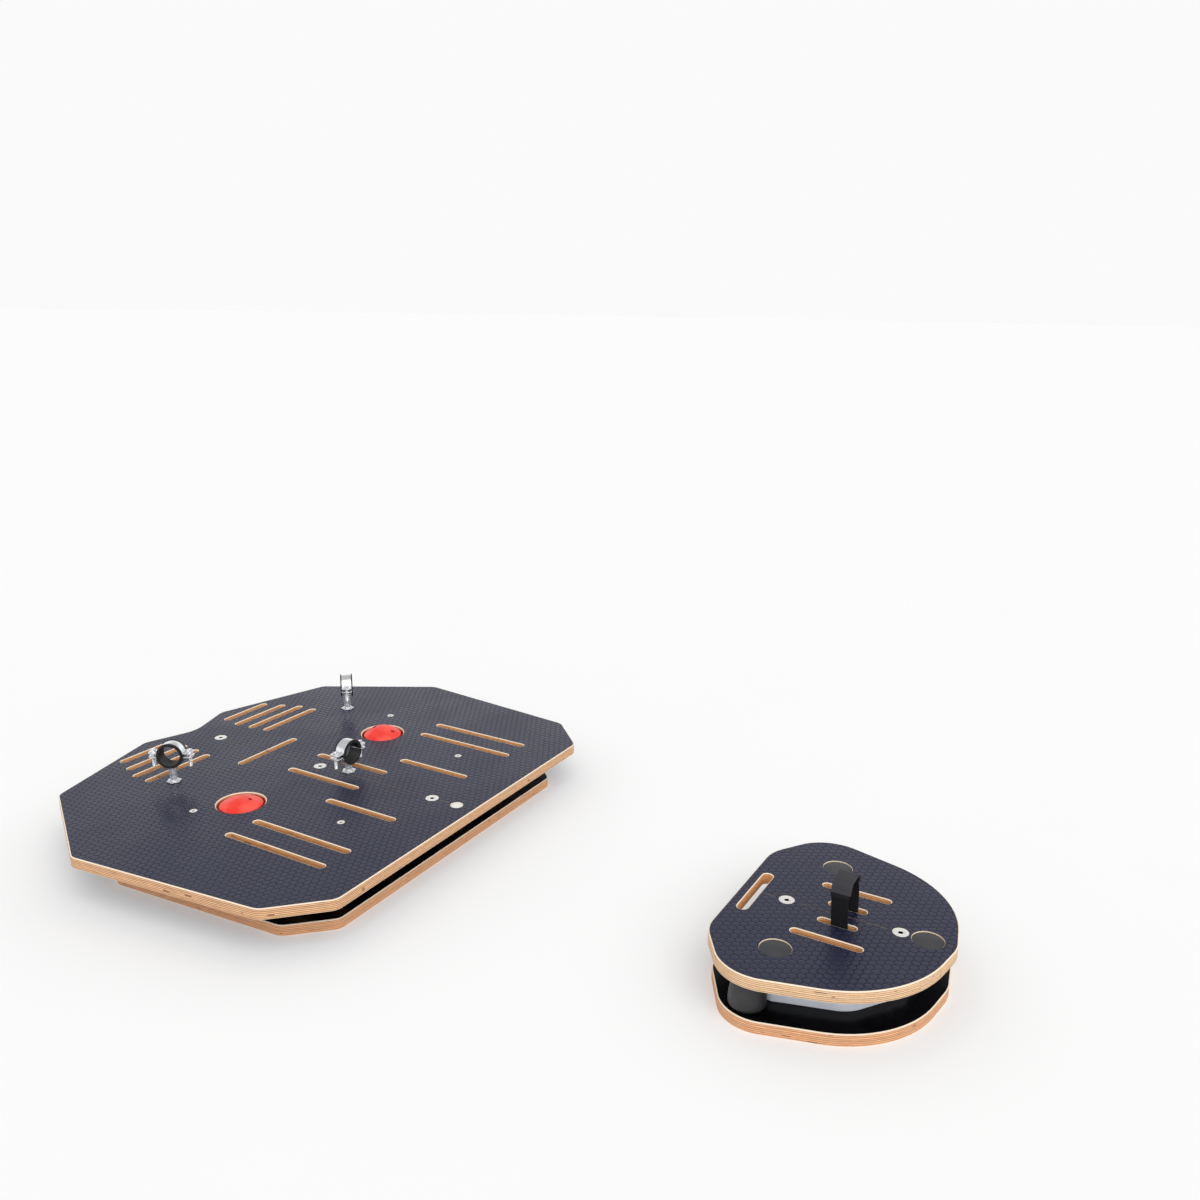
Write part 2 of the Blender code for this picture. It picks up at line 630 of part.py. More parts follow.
def tube_clamp(number, x, y, height, heading):
    """Rubber-lined tube clamp that turns on its stud; its ring stands a height above the board."""
    prefix = "clamp_%d_" % number
    swivel = new_empty(prefix + "swivel", rear_tilt, (x, y, DECK_TOP), math.radians(heading))
    upper = new_part(prefix + "upper_half", plate([half_band(1)], BAND_WIDTH), zinc, swivel, (0, 0, 0))
    across_tube(upper, BAND_WIDTH, height)
    lower = new_part(prefix + "lower_half", plate([half_band(-1)], BAND_WIDTH), zinc, swivel, (0, 0, 0))
    across_tube(lower, BAND_WIDTH, height)

    shape = bmesh.new()
    for side in (-1, 1):
        add_cone(shape, 0.0, side * EAR_SCREW, height - EAR_GAP - BAND, height + EAR_GAP + BAND,
                 EAR_SCREW_RADIUS + FIT, EAR_SCREW_RADIUS + FIT, ROUND)
    ear_holes = new_cutter(prefix + "ear_holes", mesh_from(shape, "holes"), swivel)
    combine(upper, ear_holes)
    combine(lower, ear_holes)

    shape = bmesh.new()
    add_cone(shape, 0.0, 0.0, BOSS_LOW, height - BAND_INNER - BAND / 4, BOSS_RADIUS, BOSS_RADIUS, ROUND)
    combine(lower, new_cutter(prefix + "boss", mesh_from(shape, "boss"), swivel), "UNION")
    shape = bmesh.new()
    add_cone(shape, 0.0, 0.0, BOSS_LOW - CUT_PAST, BOSS_LOW + STUD_IN_BOSS + FIT,
             STUD_RADIUS + FIT, STUD_RADIUS + FIT, ROUND)
    combine(lower, new_cutter(prefix + "boss_hole", mesh_from(shape, "hole"), swivel))

    outer = TUBE_RADIUS + LINING
    ends = (LINING_SLIT, 2 * math.pi - LINING_SLIT)
    ring = arc((0.0, 0.0), outer, ends[0], ends[1], 2 * BAND_STEPS)
    ring += arc((0.0, 0.0), TUBE_RADIUS, ends[1], ends[0], 2 * BAND_STEPS)
    lining = new_part(prefix + "lining", plate([ring], LINING_WIDTH), rubber, swivel, (0, 0, 0))
    across_tube(lining, LINING_WIDTH, height)

    seat = height + EAR_GAP / 2 + BAND + FIT
    profile = [(0.0, EAR_HEAD_HEIGHT), (EAR_HEAD_RADIUS, EAR_HEAD_HEIGHT), (EAR_HEAD_RADIUS, 0.0),
               (EAR_SCREW_RADIUS, 0.0), (EAR_SCREW_RADIUS, -EAR_SCREW_LENGTH), (0.0, -EAR_SCREW_LENGTH)]
    for end, side in (("a", -1), ("b", 1)):
        place = (0.0, side * EAR_SCREW, seat)
        turned_part(prefix + "screw_" + end, profile, zinc, swivel, place)

    nut_top = BOSS_LOW - FIT
    profile = [(0.0, BOSS_LOW + STUD_IN_BOSS), (STUD_RADIUS, BOSS_LOW + STUD_IN_BOSS),
               (STUD_RADIUS, nut_top), (LOCK_NUT_RADIUS, nut_top),
               (LOCK_NUT_RADIUS, nut_top - LOCK_NUT_HEIGHT), (STUD_RADIUS, nut_top - LOCK_NUT_HEIGHT),
               (STUD_RADIUS, -STUD_IN_BOARD), (0.0, -STUD_IN_BOARD)]
    turned_part(prefix + "stud", profile, zinc, rear_tilt, (x, y, DECK_TOP))
    bore = STUD_RADIUS + FIT
    profile = [(bore, FLANGE_NUT_HEIGHT), (FLANGE_NUT_RADIUS, FLANGE_NUT_HEIGHT),
               (FLANGE_NUT_RADIUS, 2 * FLANGE_THICKNESS), (FLANGE_RADIUS, FLANGE_THICKNESS),
               (FLANGE_RADIUS, FIT), (bore, FIT)]
    turned_part(prefix + "flange_nut", profile, zinc, rear_tilt, (x, y, DECK_TOP))


def front_base():
    mesh = plate([rounded(mirrored(FRONT_BASE))], BOARD)
    new_part("front_base_board", mesh, film, None, (FRONT_X, 0.0, 0.0))


def front_slab():
    """Pale slab on the front base that carries the axle, open round each pivot block."""
    mesh = plate([rounded(mirrored(SLAB_OUTLINE))], SLAB)
    slab = new_part("front_slab", mesh, pale_plastic, None, (FRONT_X, 0.0, BASE_TOP + FIT))
    shape = bmesh.new()
    for x, y in BUMPERS:
        radius = BUMPER_FOOT + BUMPER_SPACE
        add_cone(shape, x, y, -CUT_PAST, SLAB + CUT_PAST, radius, radius, WIDE_ROUND)
    combine(slab, new_cutter("front_slab_notches", mesh_from(shape, "notches"), slab))
    shape = bmesh.new()
    length = BLOCK_LENGTH / 2 + SLAB_WINDOW_SPACE
    width = BLOCK_WIDTH / 2 + SLAB_WINDOW_SPACE
    for x in FRONT_BOLTS:
        add_box(shape, (x - length, -width, -CUT_PAST), (x + length, width, SLAB + CUT_PAST))
    combine(slab, new_cutter("front_slab_windows", mesh_from(shape, "windows"), slab))


def front_axle():
    reach = BLOCK_LENGTH / 2 + AXLE_OVERHANG
    ends = (FRONT_BOLTS[0] - reach, FRONT_BOLTS[1] + reach)
    axle_rod("front_axle_rod", (FRONT_X + ends[0], FRONT_X + ends[1]))
    bore = axle_bore("front_axle_bore", 2 * (ends[1] - ends[0]), front_tilt, sum(ends) / 2)
    bolts = [FRONT_X + x for x in FRONT_BOLTS]
    saddle("front_axle_saddle", bolts, BASE_TOP + SLAB + 2 * FIT, bore)
    for name, x in zip(("back", "front"), FRONT_BOLTS):
        pivot_block("front_pivot_block_" + name, x, front_tilt, bore)
        pivot_bolt("front_pivot_bolt_" + name, x, front_tilt)


def front_deck():
    """Top board of the front unit, with its slots and the seats for the bolts and inlays."""
    holes = [slot(ends, SLOT_WIDTH) for ends in both_sides(FRONT_SLOTS)]
    holes.append(slot(FRONT_MIDDLE_SLOT, FRONT_MIDDLE_WIDTH))
    holes += [circle((x, 0.0), BOLT_SHAFT + FIT, ROUND) for x in FRONT_BOLTS]
    mesh = plate([rounded(mirrored(FRONT_TOP))] + holes, BOARD)
    deck = new_part("front_top_board", mesh, film, front_tilt, (0.0, 0.0, UNDER))
    first = FRONT_MIDDLE_SLOT[0][0] + FRONT_MIDDLE_WIDTH / 2 + 2 * GROOVE_WIDTH
    spans = [(first, FRONT_BOLTS[0] - GROOVE_STOP)]
    spans.append((FRONT_BOLTS[0] + GROOVE_STOP, FRONT_BOLTS[1] - GROOVE_STOP))
    spans += FRONT_TICKS
    cut_grooves(deck, spans)

    shape = bmesh.new()
    for x in FRONT_BOLTS:
        add_countersink(shape, x, 0.0, BOARD, BOLT_HEAD, BOLT_HEAD_DEPTH, BOLT_SHAFT)
    for x, y in INLAYS:
        floor = BOARD - INLAY_RECESS - INLAY_THICKNESS - FIT
        add_cone(shape, x, y, floor, BOARD + CUT_PAST, INLAY_RADIUS + FIT, INLAY_RADIUS + FIT, WIDE_ROUND)
    combine(deck, new_cutter("front_top_pockets", mesh_from(shape, "pockets"), deck))


def inlay(name, x, y):
    """Smooth round pad, set a little below the face of the front board."""
    shape = bmesh.new()
    add_cone(shape, 0.0, 0.0, 0.0, INLAY_THICKNESS, INLAY_RADIUS, INLAY_RADIUS, WIDE_ROUND)
    floor = DECK_TOP - INLAY_RECESS - INLAY_THICKNESS
    new_part("inlay_pad_" + name, mesh_from(shape, "pad"), dark_plastic, front_tilt, (x, y, floor))


def bumper(name, x, y):
    """Tapered rubber bumper that fills the gap between the boards."""
    height = GAP - 2 * FIT
    shoulder = height - BUMPER_EDGE
    profile = [(0.0, height), (BUMPER_TOP - BUMPER_EDGE, height), (BUMPER_TOP, shoulder)]
    for k in range(1, BUMPER_STEPS + 1):
        share = k / BUMPER_STEPS
        radius = BUMPER_TOP + (BUMPER_FOOT - BUMPER_TOP) * math.sin(share * math.pi / 2)
        profile.append((radius, shoulder + (BUMPER_EDGE - shoulder) * share))
    profile += [(BUMPER_FOOT - BUMPER_EDGE, 0.0), (0.0, 0.0)]
    place = (FRONT_X + x, y, BASE_TOP + FIT)
    turned_part("bumper_" + name, profile, rubber, None, place, WIDE_ROUND)


def wheel_strap():
    """Loop of webbing: under the board, up through the two short slots and over the wheel."""
    half, bend = STRAP_FOOT
    low = UNDER - FIT - STRAP
    outer = [(half, low, bend)]
    outer += [(y, DECK_TOP + height, radius) for y, height, radius in STRAP_BENDS]
    outer.append((-half, low, bend))
    mesh = plate([rounded(outer), rounded(inset(outer, STRAP))], STRAP_WIDTH)
    strap = new_part("wheel_strap", mesh, webbing, front_tilt, (0.0, 0.0, 0.0))
    across_tube(strap, STRAP_WIDTH, 0.0)
    strap.location.x = STRAP_X - STRAP_WIDTH / 2


def build_rear():
    rear_base()
    rear_axle()
    rear_deck()
    for name, (side, contact, dome) in BALLS.items():
        ball(name, side, contact, dome)
    for name, (x, y) in BUFFERS.items():
        stop_buffer(name, x, y)
    spirit_level()
    for number, (x, y, height, heading) in enumerate(CLAMPS, 1):
        tube_clamp(number, x, y, height, heading)


def build_front():
    front_base()
    front_slab()
    front_axle()
    front_deck()
    for name, (x, y) in zip(("near", "far", "front"), INLAYS):
        inlay(name, x, y)
    for name, (x, y) in zip(("near", "far"), BUMPERS):
        bumper(name, x, y)
    wheel_strap()


clear_scene()
parts = new_collection("trainer_rocker_plate")
cutters = new_collection("cutters")
film = new_material("film_faced_plywood", (0.035, 0.035, 0.038), 0.6)
steel = new_material("steel", (0.62, 0.61, 0.58), 0.35, 1.0)
zinc = new_material("zinc_plated_steel", (0.70, 0.72, 0.74), 0.3, 1.0)
black_nylon = new_material("black_nylon", (0.02, 0.02, 0.02), 0.5)
rubber = new_material("rubber", (0.02, 0.02, 0.022), 0.8)
red_rubber = new_material("red_rubber", (0.80, 0.05, 0.03), 0.4)
white_plastic = new_material("white_plastic", (0.80, 0.77, 0.70), 0.4)
clear = new_material("clear_plastic", (0.85, 0.85, 0.75), 0.1)
pale_plastic = new_material("pale_plastic", (0.58, 0.63, 0.74), 0.6)
dark_plastic = new_material("dark_plastic", (0.045, 0.045, 0.05), 0.5)
webbing = new_material("webbing", (0.02, 0.02, 0.022), 0.85)
rear_tilt = new_empty("rear_tilt_axis", None, (0.0, 0.0, AXIS_Z))
front_tilt = new_empty("front_tilt_axis", None, (FRONT_X, 0.0, AXIS_Z))
build_rear()
build_front()
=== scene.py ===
"""Looks of the rocker plate set: finishes, and finer shapes for the pieces that show.

Lengths are in metres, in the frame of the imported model: +X forward, +Y to the rider's left, +Z up,
the floor at z = 0. Each finer piece takes its place and size from the node that it stands for.
"""
import math

import bmesh
import bpy
from mathutils import Matrix, Vector
from mathutils.geometry import delaunay_2d_cdt


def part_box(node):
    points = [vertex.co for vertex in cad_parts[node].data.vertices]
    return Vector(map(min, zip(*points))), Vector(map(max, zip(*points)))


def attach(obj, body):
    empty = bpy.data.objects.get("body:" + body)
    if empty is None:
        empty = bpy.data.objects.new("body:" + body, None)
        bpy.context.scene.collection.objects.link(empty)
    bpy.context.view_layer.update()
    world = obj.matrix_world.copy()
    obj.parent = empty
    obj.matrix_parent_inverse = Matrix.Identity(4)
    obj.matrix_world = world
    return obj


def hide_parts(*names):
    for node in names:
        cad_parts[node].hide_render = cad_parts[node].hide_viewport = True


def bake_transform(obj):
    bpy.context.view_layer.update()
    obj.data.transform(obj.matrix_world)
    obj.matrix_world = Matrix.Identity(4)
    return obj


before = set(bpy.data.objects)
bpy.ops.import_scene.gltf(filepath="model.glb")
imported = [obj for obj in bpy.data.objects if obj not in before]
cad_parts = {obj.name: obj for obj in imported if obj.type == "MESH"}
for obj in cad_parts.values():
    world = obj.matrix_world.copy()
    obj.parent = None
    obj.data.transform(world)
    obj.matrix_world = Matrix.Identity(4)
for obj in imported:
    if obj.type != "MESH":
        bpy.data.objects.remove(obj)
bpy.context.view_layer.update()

# Camera, worked out from the photograph's vanishing lines; the image is a square
CAMERA_PLACE = (1.3423, -1.3611, 0.9104)
CAMERA_YAW = math.radians(29.2709)
CAMERA_PITCH = math.radians(15.388)
CAMERA_ROLL = math.radians(0.9057)
IMAGE_SIZE = 1200
FOCAL_PIXELS = 1095.825
SENSOR = 36.0

# Light: pale walls all round under a dimmer ceiling, and a wide soft sun
AMBIENT = 0.94
CEILING = 0.70
CEILING_SEEN = 0.36
WALLS_END = (0.28, 0.60)
SUN_STRENGTH = 1.25
SUN_WIDTH = math.radians(60.0)
SUN_TILT = (math.radians(27.0), math.radians(36.0))
BACKDROP = 0.955
FLOOR_TONE = 0.98
FLOOR_GLOW = 0.20
FLOOR_RADIUS = 60.0
FLOOR_STEPS = 64

# Boards
BOARD = 0.018
FRONT_X = 0.966
REAR_TOP = (
    (-0.326, 0.0, 0.065),
    (-0.359, -0.093, 0.028),
    (-0.293, -0.320, 0.022),
    (-0.084, -0.446, 0.025),
    (0.266, -0.408, 0.030),
    (0.344, -0.330, 0.025),
)
REAR_BASE = (
    (-0.318, -0.080, 0.020),
    (-0.262, -0.270, 0.022),
    (-0.081, -0.374, 0.022),
    (0.247, -0.350, 0.025),
    (0.309, -0.290, 0.020),
)
FRONT_TOP = (
    (-0.142, -0.123, 0.070),
    (-0.081, -0.2145, 0.072),
    (0.142, -0.1525, 0.175),
    (0.169, -0.007, 0.046),
)
FRONT_BASE = (
    (-0.136, -0.114, 0.045),
    (-0.0775, -0.2135, 0.062),
    (0.140, -0.151, 0.163),
    (0.163, -0.007, 0.046),
)
SLAB_OUTLINE = (
    (-0.100, -0.085, 0.020),
    (-0.043, -0.153, 0.020),
    (0.063, -0.1215, 0.057),
    (0.118, -0.047, 0.020),
)
TOP_EDGE = 0.0016
BOTTOM_EDGE = 0.0010
SLOT_EDGE = 0.0013
EDGE_STEPS = 4

SLOT_WIDTH = 0.0125
REAR_SLOTS = (
    ((0.058, -0.271), (0.264, -0.271)),
    ((0.062, -0.217), (0.265, -0.217)),
    ((0.109, -0.098), (0.255, -0.098)),
    ((-0.038, -0.0375), (0.122, -0.0375)),
    ((-0.211, -0.207), (-0.211, -0.070)),
    ((-0.246, -0.205), (-0.246, -0.065)),
    ((-0.281, -0.191), (-0.281, -0.062)),
    ((-0.318, -0.176), (-0.318, -0.068)),
)
REAR_MIDDLE_SLOT = ((-0.130, -0.070), (-0.130, 0.070))
FRONT_SLOTS = (((-0.016, -0.0245), (0.039, -0.0245)), ((-0.040, -0.070), (0.061, -0.070)))
FRONT_MIDDLE_SLOT = ((-0.119, -0.057), (-0.119, 0.057))
FRONT_MIDDLE_WIDTH = 0.016

GROOVE_WIDTH = 0.0010
GROOVE_DEPTH = 0.0008
GROOVE_STOP = 0.018
# Paint of the slot walls: a deeper orange copy of the plywood, as painted shade and bounce light
SLOT_SHADE_PAINT = 2
GROOVE_PAINT = 3
REAR_TICK = (0.320, 0.331)
FRONT_TICKS = ((-0.136, -0.131), (0.158, 0.163))
SEAT_SPACE = 0.0004

# Air balls: their hole and its rim, their foot and widest reach; by ball, how far under the board's face
# the dome starts, and the x, y and heading in degrees of its plugs
BALL_HOLE = 0.0395
BALL_RIM = 0.0025
BALL_FOOT = 0.036
BALL_BULGE = 0.050
BALLS = {
    "near_ball": (0.005, ((0.007, -0.1735, 0.0),)),
    "far_ball": (0.007, ((-0.0207, 0.1745, 74.0), (0.0168, 0.1833, 30.0))),
}

# Pivot bolts and buffer screws: socket across flats and its depth; radius and depth of the seat
BOLT_SOCKET = (0.0066, 0.0038)
BOLT_SEAT = (0.011, 0.0045)
SCREW_SOCKET = (0.0035, 0.0022)
SCREW_SEAT = (0.006, 0.0032)
SCREW_PLACES = ("back_near", "back_far", "front_near", "front_far")
LEVEL_SEAT = (0.0105, 0.0115)

# Heading of every socket
SOCKET_TURN = math.radians(11.0)

# Front unit: the slab's edges, its windows for the pivots (half length, half width, corner) and the
# space round the bumpers, and the bumpers' radius at the top
SLAB_EDGES = (0.0006, 0.0004)
SLAB_WINDOW = (0.023, 0.018, 0.002)
NOTCH_SPACE = 0.002
BUMPER_TOP = 0.0205
PAD_PLACES = ("near", "far", "front")

# Tube clamps: heading of the tube in degrees, by clamp number. An ear screw has its reach and length,
# the boss its flats and corner, the lock nut these and its height, the stud its radius, thread depth
# and pitch
CLAMP_HEADINGS = {1: -59.0, 2: 0.0, 3: 43.0}
TUBE_RADIUS = 0.0175
LINING = 0.0022
BAND = 0.002
BAND_HALF = 0.010
LINING_HALF = 0.012
EAR_GAP = 0.005
EAR_REACH = 0.038
EAR_CORNER = 0.0055
EAR_FILLET = 0.003
EAR_SCREW = (0.0315, 0.028)
BOSS_LOW = 0.0115
BOSS = (0.0124, 0.0070)
LOCK_NUT = (0.0118, 0.0065, 0.0040)
STUD = (0.0040, 0.0006, 0.00125)
STUD_FOOT = -0.0115
STUD_IN_BOSS = 0.0055
FIT = 0.0003

# Strap of the front wheel, a loop in the plane across the board; each bend is y, height over the
# board and radius, from the far side to the near one
STRAP_X = 0.981
STRAP_HALF = 0.0125
STRAP_FOOT = (0.025, 0.005)
STRAP_BENDS = (
    (0.020, 0.036, 0.060),
    (0.006, 0.068, 0.012),
    (-0.028, 0.068, 0.012),
    (-0.037, 0.0495, 0.007),
)

# How far the inner and the outer layer are drawn in from that loop. The outer one's lap: its half width,
# its shift sideways at start and end, its hem's height over the board, length and step outwards, and the
# height at which its path starts. The fold: its height over the board and its length
STRAP_LAYERS = (0.0017, -0.0002)
STRAP_LAP_HALF = 0.0140
STRAP_DRIFT = (0.0008, 0.0008)
STRAP_HEM = 0.0535
STRAP_HEM_LENGTH = 0.0065
STRAP_HEM_OUT = 0.0011
STRAP_START = 0.020
STRAP_FOLD = (0.034, 0.007)
STRAP_STEP = 0.002

# Fineness of arcs, turned skins, nuts, threads and long edges; pitch of the rings on turned metal
ARC_STEP = math.radians(4.0)
TIGHTEST = 0.002
FINE = 64
ROUND = 96
HEX_FINE = 48
THREAD_FINE = 24
LATHE_LINES = 0.0004
DENSE = 24
DOME_STEPS = 32
SIDE_STEPS = 28
BUMPER_STEPS = 12
EAR_STEPS = 14
SMOOTH_ANGLE = math.radians(38.0)


class Nodes:
    """A node tree; each call adds a node and returns its first or named output."""

    def __init__(self, tree):
        self.tree = tree

    def add(self, kind, inputs=(), output=0, **settings):
        node = self.tree.nodes.new(kind)
        for key, value in settings.items():
            setattr(node, key, value)
        pairs = inputs.items() if isinstance(inputs, dict) else enumerate(inputs)
        for key, value in pairs:
            self.put(node.inputs[key], value)
        return None if output is None else node.outputs[output]

    def put(self, socket, value):
        if isinstance(value, bpy.types.NodeSocket):
            self.tree.links.new(value, socket)
        elif value is not None:
            if isinstance(value, tuple) and len(value) == 3 and socket.type == "RGBA":
                value = (*value, 1.0)
            socket.default_value = value

    def place(self):
        """Object coordinates, in metres."""
        return self.add("ShaderNodeTexCoord", output="Object")

    def math(self, operation, *values, clamp=False):
        return self.add("ShaderNodeMath", values, operation=operation, use_clamp=clamp)

    def vector(self, operation, *values, output=0):
        return self.add("ShaderNodeVectorMath", values, output, operation=operation)

    def split(self, vector):
        node = self.tree.nodes.new("ShaderNodeSeparateXYZ")
        self.put(node.inputs[0], vector)
        return node.outputs

    def scaled(self, vector, scale):
        return self.vector("MULTIPLY", vector, scale)

    def noise(self, vector, scale, detail=2.0, rough=0.5):
        return self.add("ShaderNodeTexNoise", {"Vector": vector, "Scale": scale, "Detail": detail,
                                               "Roughness": rough})

    def cells(self, vector, scale, output="Distance", **settings):
        return self.add("ShaderNodeTexVoronoi", {"Vector": vector, "Scale": scale}, output,
                        **settings)

    def ease(self, value, start, end, low=0.0, high=1.0):
        """Smooth step of a value from one range to another."""
        return self.add("ShaderNodeMapRange", (value, start, end, low, high),
                        interpolation_type="SMOOTHSTEP")

    def mix(self, share, first, second):
        node = self.tree.nodes.new("ShaderNodeMix")
        node.data_type = "RGBA"
        self.put(node.inputs[0], share)
        self.put(node.inputs[6], first)
        self.put(node.inputs[7], second)
        return node.outputs[2]

    def bump(self, height, distance, strength=1.0, normal=None):
        return self.add("ShaderNodeBump", {"Height": height, "Distance": distance,
                                           "Strength": strength, "Normal": normal})

    def seen(self, *kinds):
        """1 on rays of the named kinds."""
        path = self.tree.nodes.new("ShaderNodeLightPath")
        total = 0.0
        for kind in kinds:
            total = self.math("ADD", total, path.outputs["Is %s Ray" % kind], clamp=True)
        return total


class Look(Nodes):
    """A procedural material."""

    def __init__(self, name):
        self.material = bpy.data.materials.new(name)
        self.material.use_nodes = True
        super().__init__(self.material.node_tree)
        self.shader = self.tree.nodes["Principled BSDF"]

    def done(self, colour, roughness, normal=None, **sockets):
        values = {"Base Color": colour, "Roughness": roughness, "Normal": normal}
        values.update((key.replace("_", " "), value) for key, value in sockets.items())
        for key, value in values.items():
            self.put(self.shader.inputs[key], value)
        return self.material


# The film's pressed pattern: its pitch, the depth of the lines between its pads, and its colours; the lines'
# colour is painted shade, darkest at their junctions
HEX_PITCH = 0.0115
HEX_DEPTH = 0.0002
FILM_LINE_SHADE = (0.0030, 0.0030, 0.0160)
FILM_PAD = (0.0240, 0.0245, 0.0560)
FILM_DUST = (0.0400, 0.0400, 0.0680)


def film_look(name, turned):
    """Dark phenolic film with a pressed hexagon pattern; turned sheets run the other way."""
    look = Look(name)
    place = look.place()
    x, y, _ = look.split(place)
    flat = look.add("ShaderNodeCombineXYZ", (y, x, 0.0) if turned else (x, y, 0.0))
    flat = look.scaled(flat, (1 / HEX_PITCH,) * 3)
    half = (0.5, math.sqrt(3) / 2, 1.0)
    minus = tuple(-side for side in half)
    first = look.vector("WRAP", flat, half, minus)
    shifted = look.vector("SUBTRACT", flat, (half[0], half[1], 0.0))
    second = look.vector("WRAP", shifted, half, minus)
    first_far = look.vector("LENGTH", first, output="Value")
    second_far = look.vector("LENGTH", second, output="Value")
    nearer = look.math("LESS_THAN", second_far, first_far)
    near = look.add("ShaderNodeMix", {0: nearer, 4: first, 5: second}, 1, data_type="VECTOR")
    reach = look.vector("LENGTH", near, output="Value")
    across, along, _ = look.split(look.vector("ABSOLUTE", near))
    slant = look.math("ADD", look.math("MULTIPLY", across, 0.5),
                      look.math("MULTIPLY", along, math.sqrt(3) / 2))
    edge = look.math("MAXIMUM", across, slant)
    edge = look.math("MAXIMUM", edge, look.math("SUBTRACT", reach, 0.06))
    line = look.ease(edge, 0.36, 0.47)
    blotch = look.noise(place, 9.0, 3.0)
    grain = look.noise(place, 900.0, 2.0)
    wear = look.noise(place, 60.0, 4.0, 0.6)
    # Painted shade: the pressed lines, and most of all their junctions, are darkened
    colour = look.mix(line, FILM_PAD, FILM_LINE_SHADE)
    colour = look.mix(look.ease(wear, 0.50, 0.85, 0.0, 0.30), colour, FILM_DUST)
    rough = look.math("ADD", look.ease(blotch, 0.3, 0.7, 0.22, 0.32), look.math("MULTIPLY", line, 0.20))
    normal = look.bump(look.math("SUBTRACT", 1.0, line), HEX_DEPTH, 1.0)
    normal = look.bump(grain, 0.00002, 0.5, normal)
    return look.done(colour, rough, normal, Specular_Tint=(0.80, 0.85, 1.0))


def gloss_look(name, colour, lighter):
    """Smooth dark film, with a faint cloudiness."""
    look = Look(name)
    place = look.place()
    cloud = look.noise(place, 14.0, 4.0)
    grain = look.noise(place, 700.0, 2.0)
    tint = look.mix(look.ease(cloud, 0.35, 0.7), colour, lighter)
    rough = look.ease(cloud, 0.3, 0.7, 0.18, 0.28)
    return look.done(tint, rough, look.bump(grain, 0.00002, 0.4), Specular_IOR_Level=0.15)


# Birch plywood: its layers, and the colours of its edge; the rim colour is a painted highlight on the
# rounded top and bottom edges
LAYERS = 13
PLY_RIM_HIGHLIGHT = (0.95, 0.83, 0.66)
PLY_GLUE = (0.26, 0.125, 0.055)
PLY_KNOT = (0.10, 0.042, 0.020)


def ply_look(name, along, across, seed):
    """Cut edge of plywood: crisp layers by height, whose grain runs along or across the edge, with a painted
    highlight on its rounded top and bottom edges.
    """
    look = Look(name)
    place = look.place()
    x, y, height = look.split(place)
    level = look.math("DIVIDE", look.math("ADD", height, BOARD), BOARD / LAYERS)
    number = look.math("FLOOR", level)
    odd = look.math("MODULO", number, 2.0)
    depth = look.math("MULTIPLY", look.math("ADD", number, seed), 7.31)
    tone = look.add("ShaderNodeTexWhiteNoise", {"W": depth}, noise_dimensions="1D")
    within = look.add("ShaderNodeCombineXYZ", (x, y, depth))
    streak = look.noise(look.scaled(within, (70.0, 70.0, 1.0)), 1.0, 3.0)
    speck = look.noise(place, 1300.0, 2.0)
    fibre = look.noise(look.scaled(place, (90.0, 90.0, 5200.0)), 1.0, 2.0)
    darker = tuple(0.80 * c for c in along)
    long_grain = look.mix(look.ease(streak, 0.35, 0.70), along, darker)
    long_grain = look.mix(look.ease(fibre, 0.45, 0.75, 0.0, 0.35), long_grain, darker)
    darker = tuple(0.66 * c for c in across)
    end_grain = look.mix(look.ease(speck, 0.40, 0.62), across, darker)
    end_grain = look.mix(look.ease(streak, 0.45, 0.70, 0.0, 0.5), end_grain, darker)
    colour = look.mix(odd, end_grain, long_grain)
    shade = look.math("SUBTRACT", 1.12, look.math("MULTIPLY", tone, 0.30))
    colour = look.vector("SCALE", colour, None, None, shade)
    ridge = look.math("ABSOLUTE", look.math("SUBTRACT", look.math("FRACT", level), 0.5))
    glue = look.ease(ridge, 0.44, 0.49, 0.0, 0.6)
    colour = look.mix(glue, colour, PLY_GLUE)
    gap = look.noise(look.scaled(within, (48.0, 48.0, 1.9)), 1.0, 1.0)
    knot = look.math("MULTIPLY", look.ease(gap, 0.68, 0.72), look.math("LESS_THAN", tone, 0.45))
    colour = look.mix(look.math("MULTIPLY", knot, 0.85), colour, PLY_KNOT)
    # Painted highlight: the rounded top and bottom edges are lightened toward cream
    rim = look.math("MAXIMUM", look.ease(height, BOARD - 0.0018, BOARD - 0.0012),
                    look.ease(height, 0.0009, 0.0004))
    colour = look.mix(look.math("MULTIPLY", rim, 0.85), colour, PLY_RIM_HIGHLIGHT)
    relief = look.math("SUBTRACT", fibre, look.math("ADD", glue, knot))
    return look.done(colour, look.ease(speck, 0.3, 0.7, 0.52, 0.70), look.bump(relief, 0.00010, 0.5),
                     Specular_IOR_Level=0.35)


def turned_metal_look(name, colour, rough, metal=1.0):
    """Metal faced on a lathe: fine rings about the piece's own axis."""
    look = Look(name)
    place = look.place()
    x, y, _ = look.split(place)
    reach = look.vector("LENGTH", look.add("ShaderNodeCombineXYZ", (x, y, 0.0)), output="Value")
    rings = look.math("SINE", look.math("MULTIPLY", reach, 2 * math.pi / LATHE_LINES))
    smear = look.noise(place, 260.0, 3.0)
    tint = look.mix(look.ease(smear, 0.35, 0.75), colour, tuple(0.86 * c for c in colour))
    ridges = look.math("ADD", look.math("MULTIPLY", rings, 0.5), smear)
    return look.done(tint, look.ease(smear, 0.3, 0.7, rough, rough + 0.14),
                     look.bump(ridges, 0.00001, 0.6), Metallic=metal)


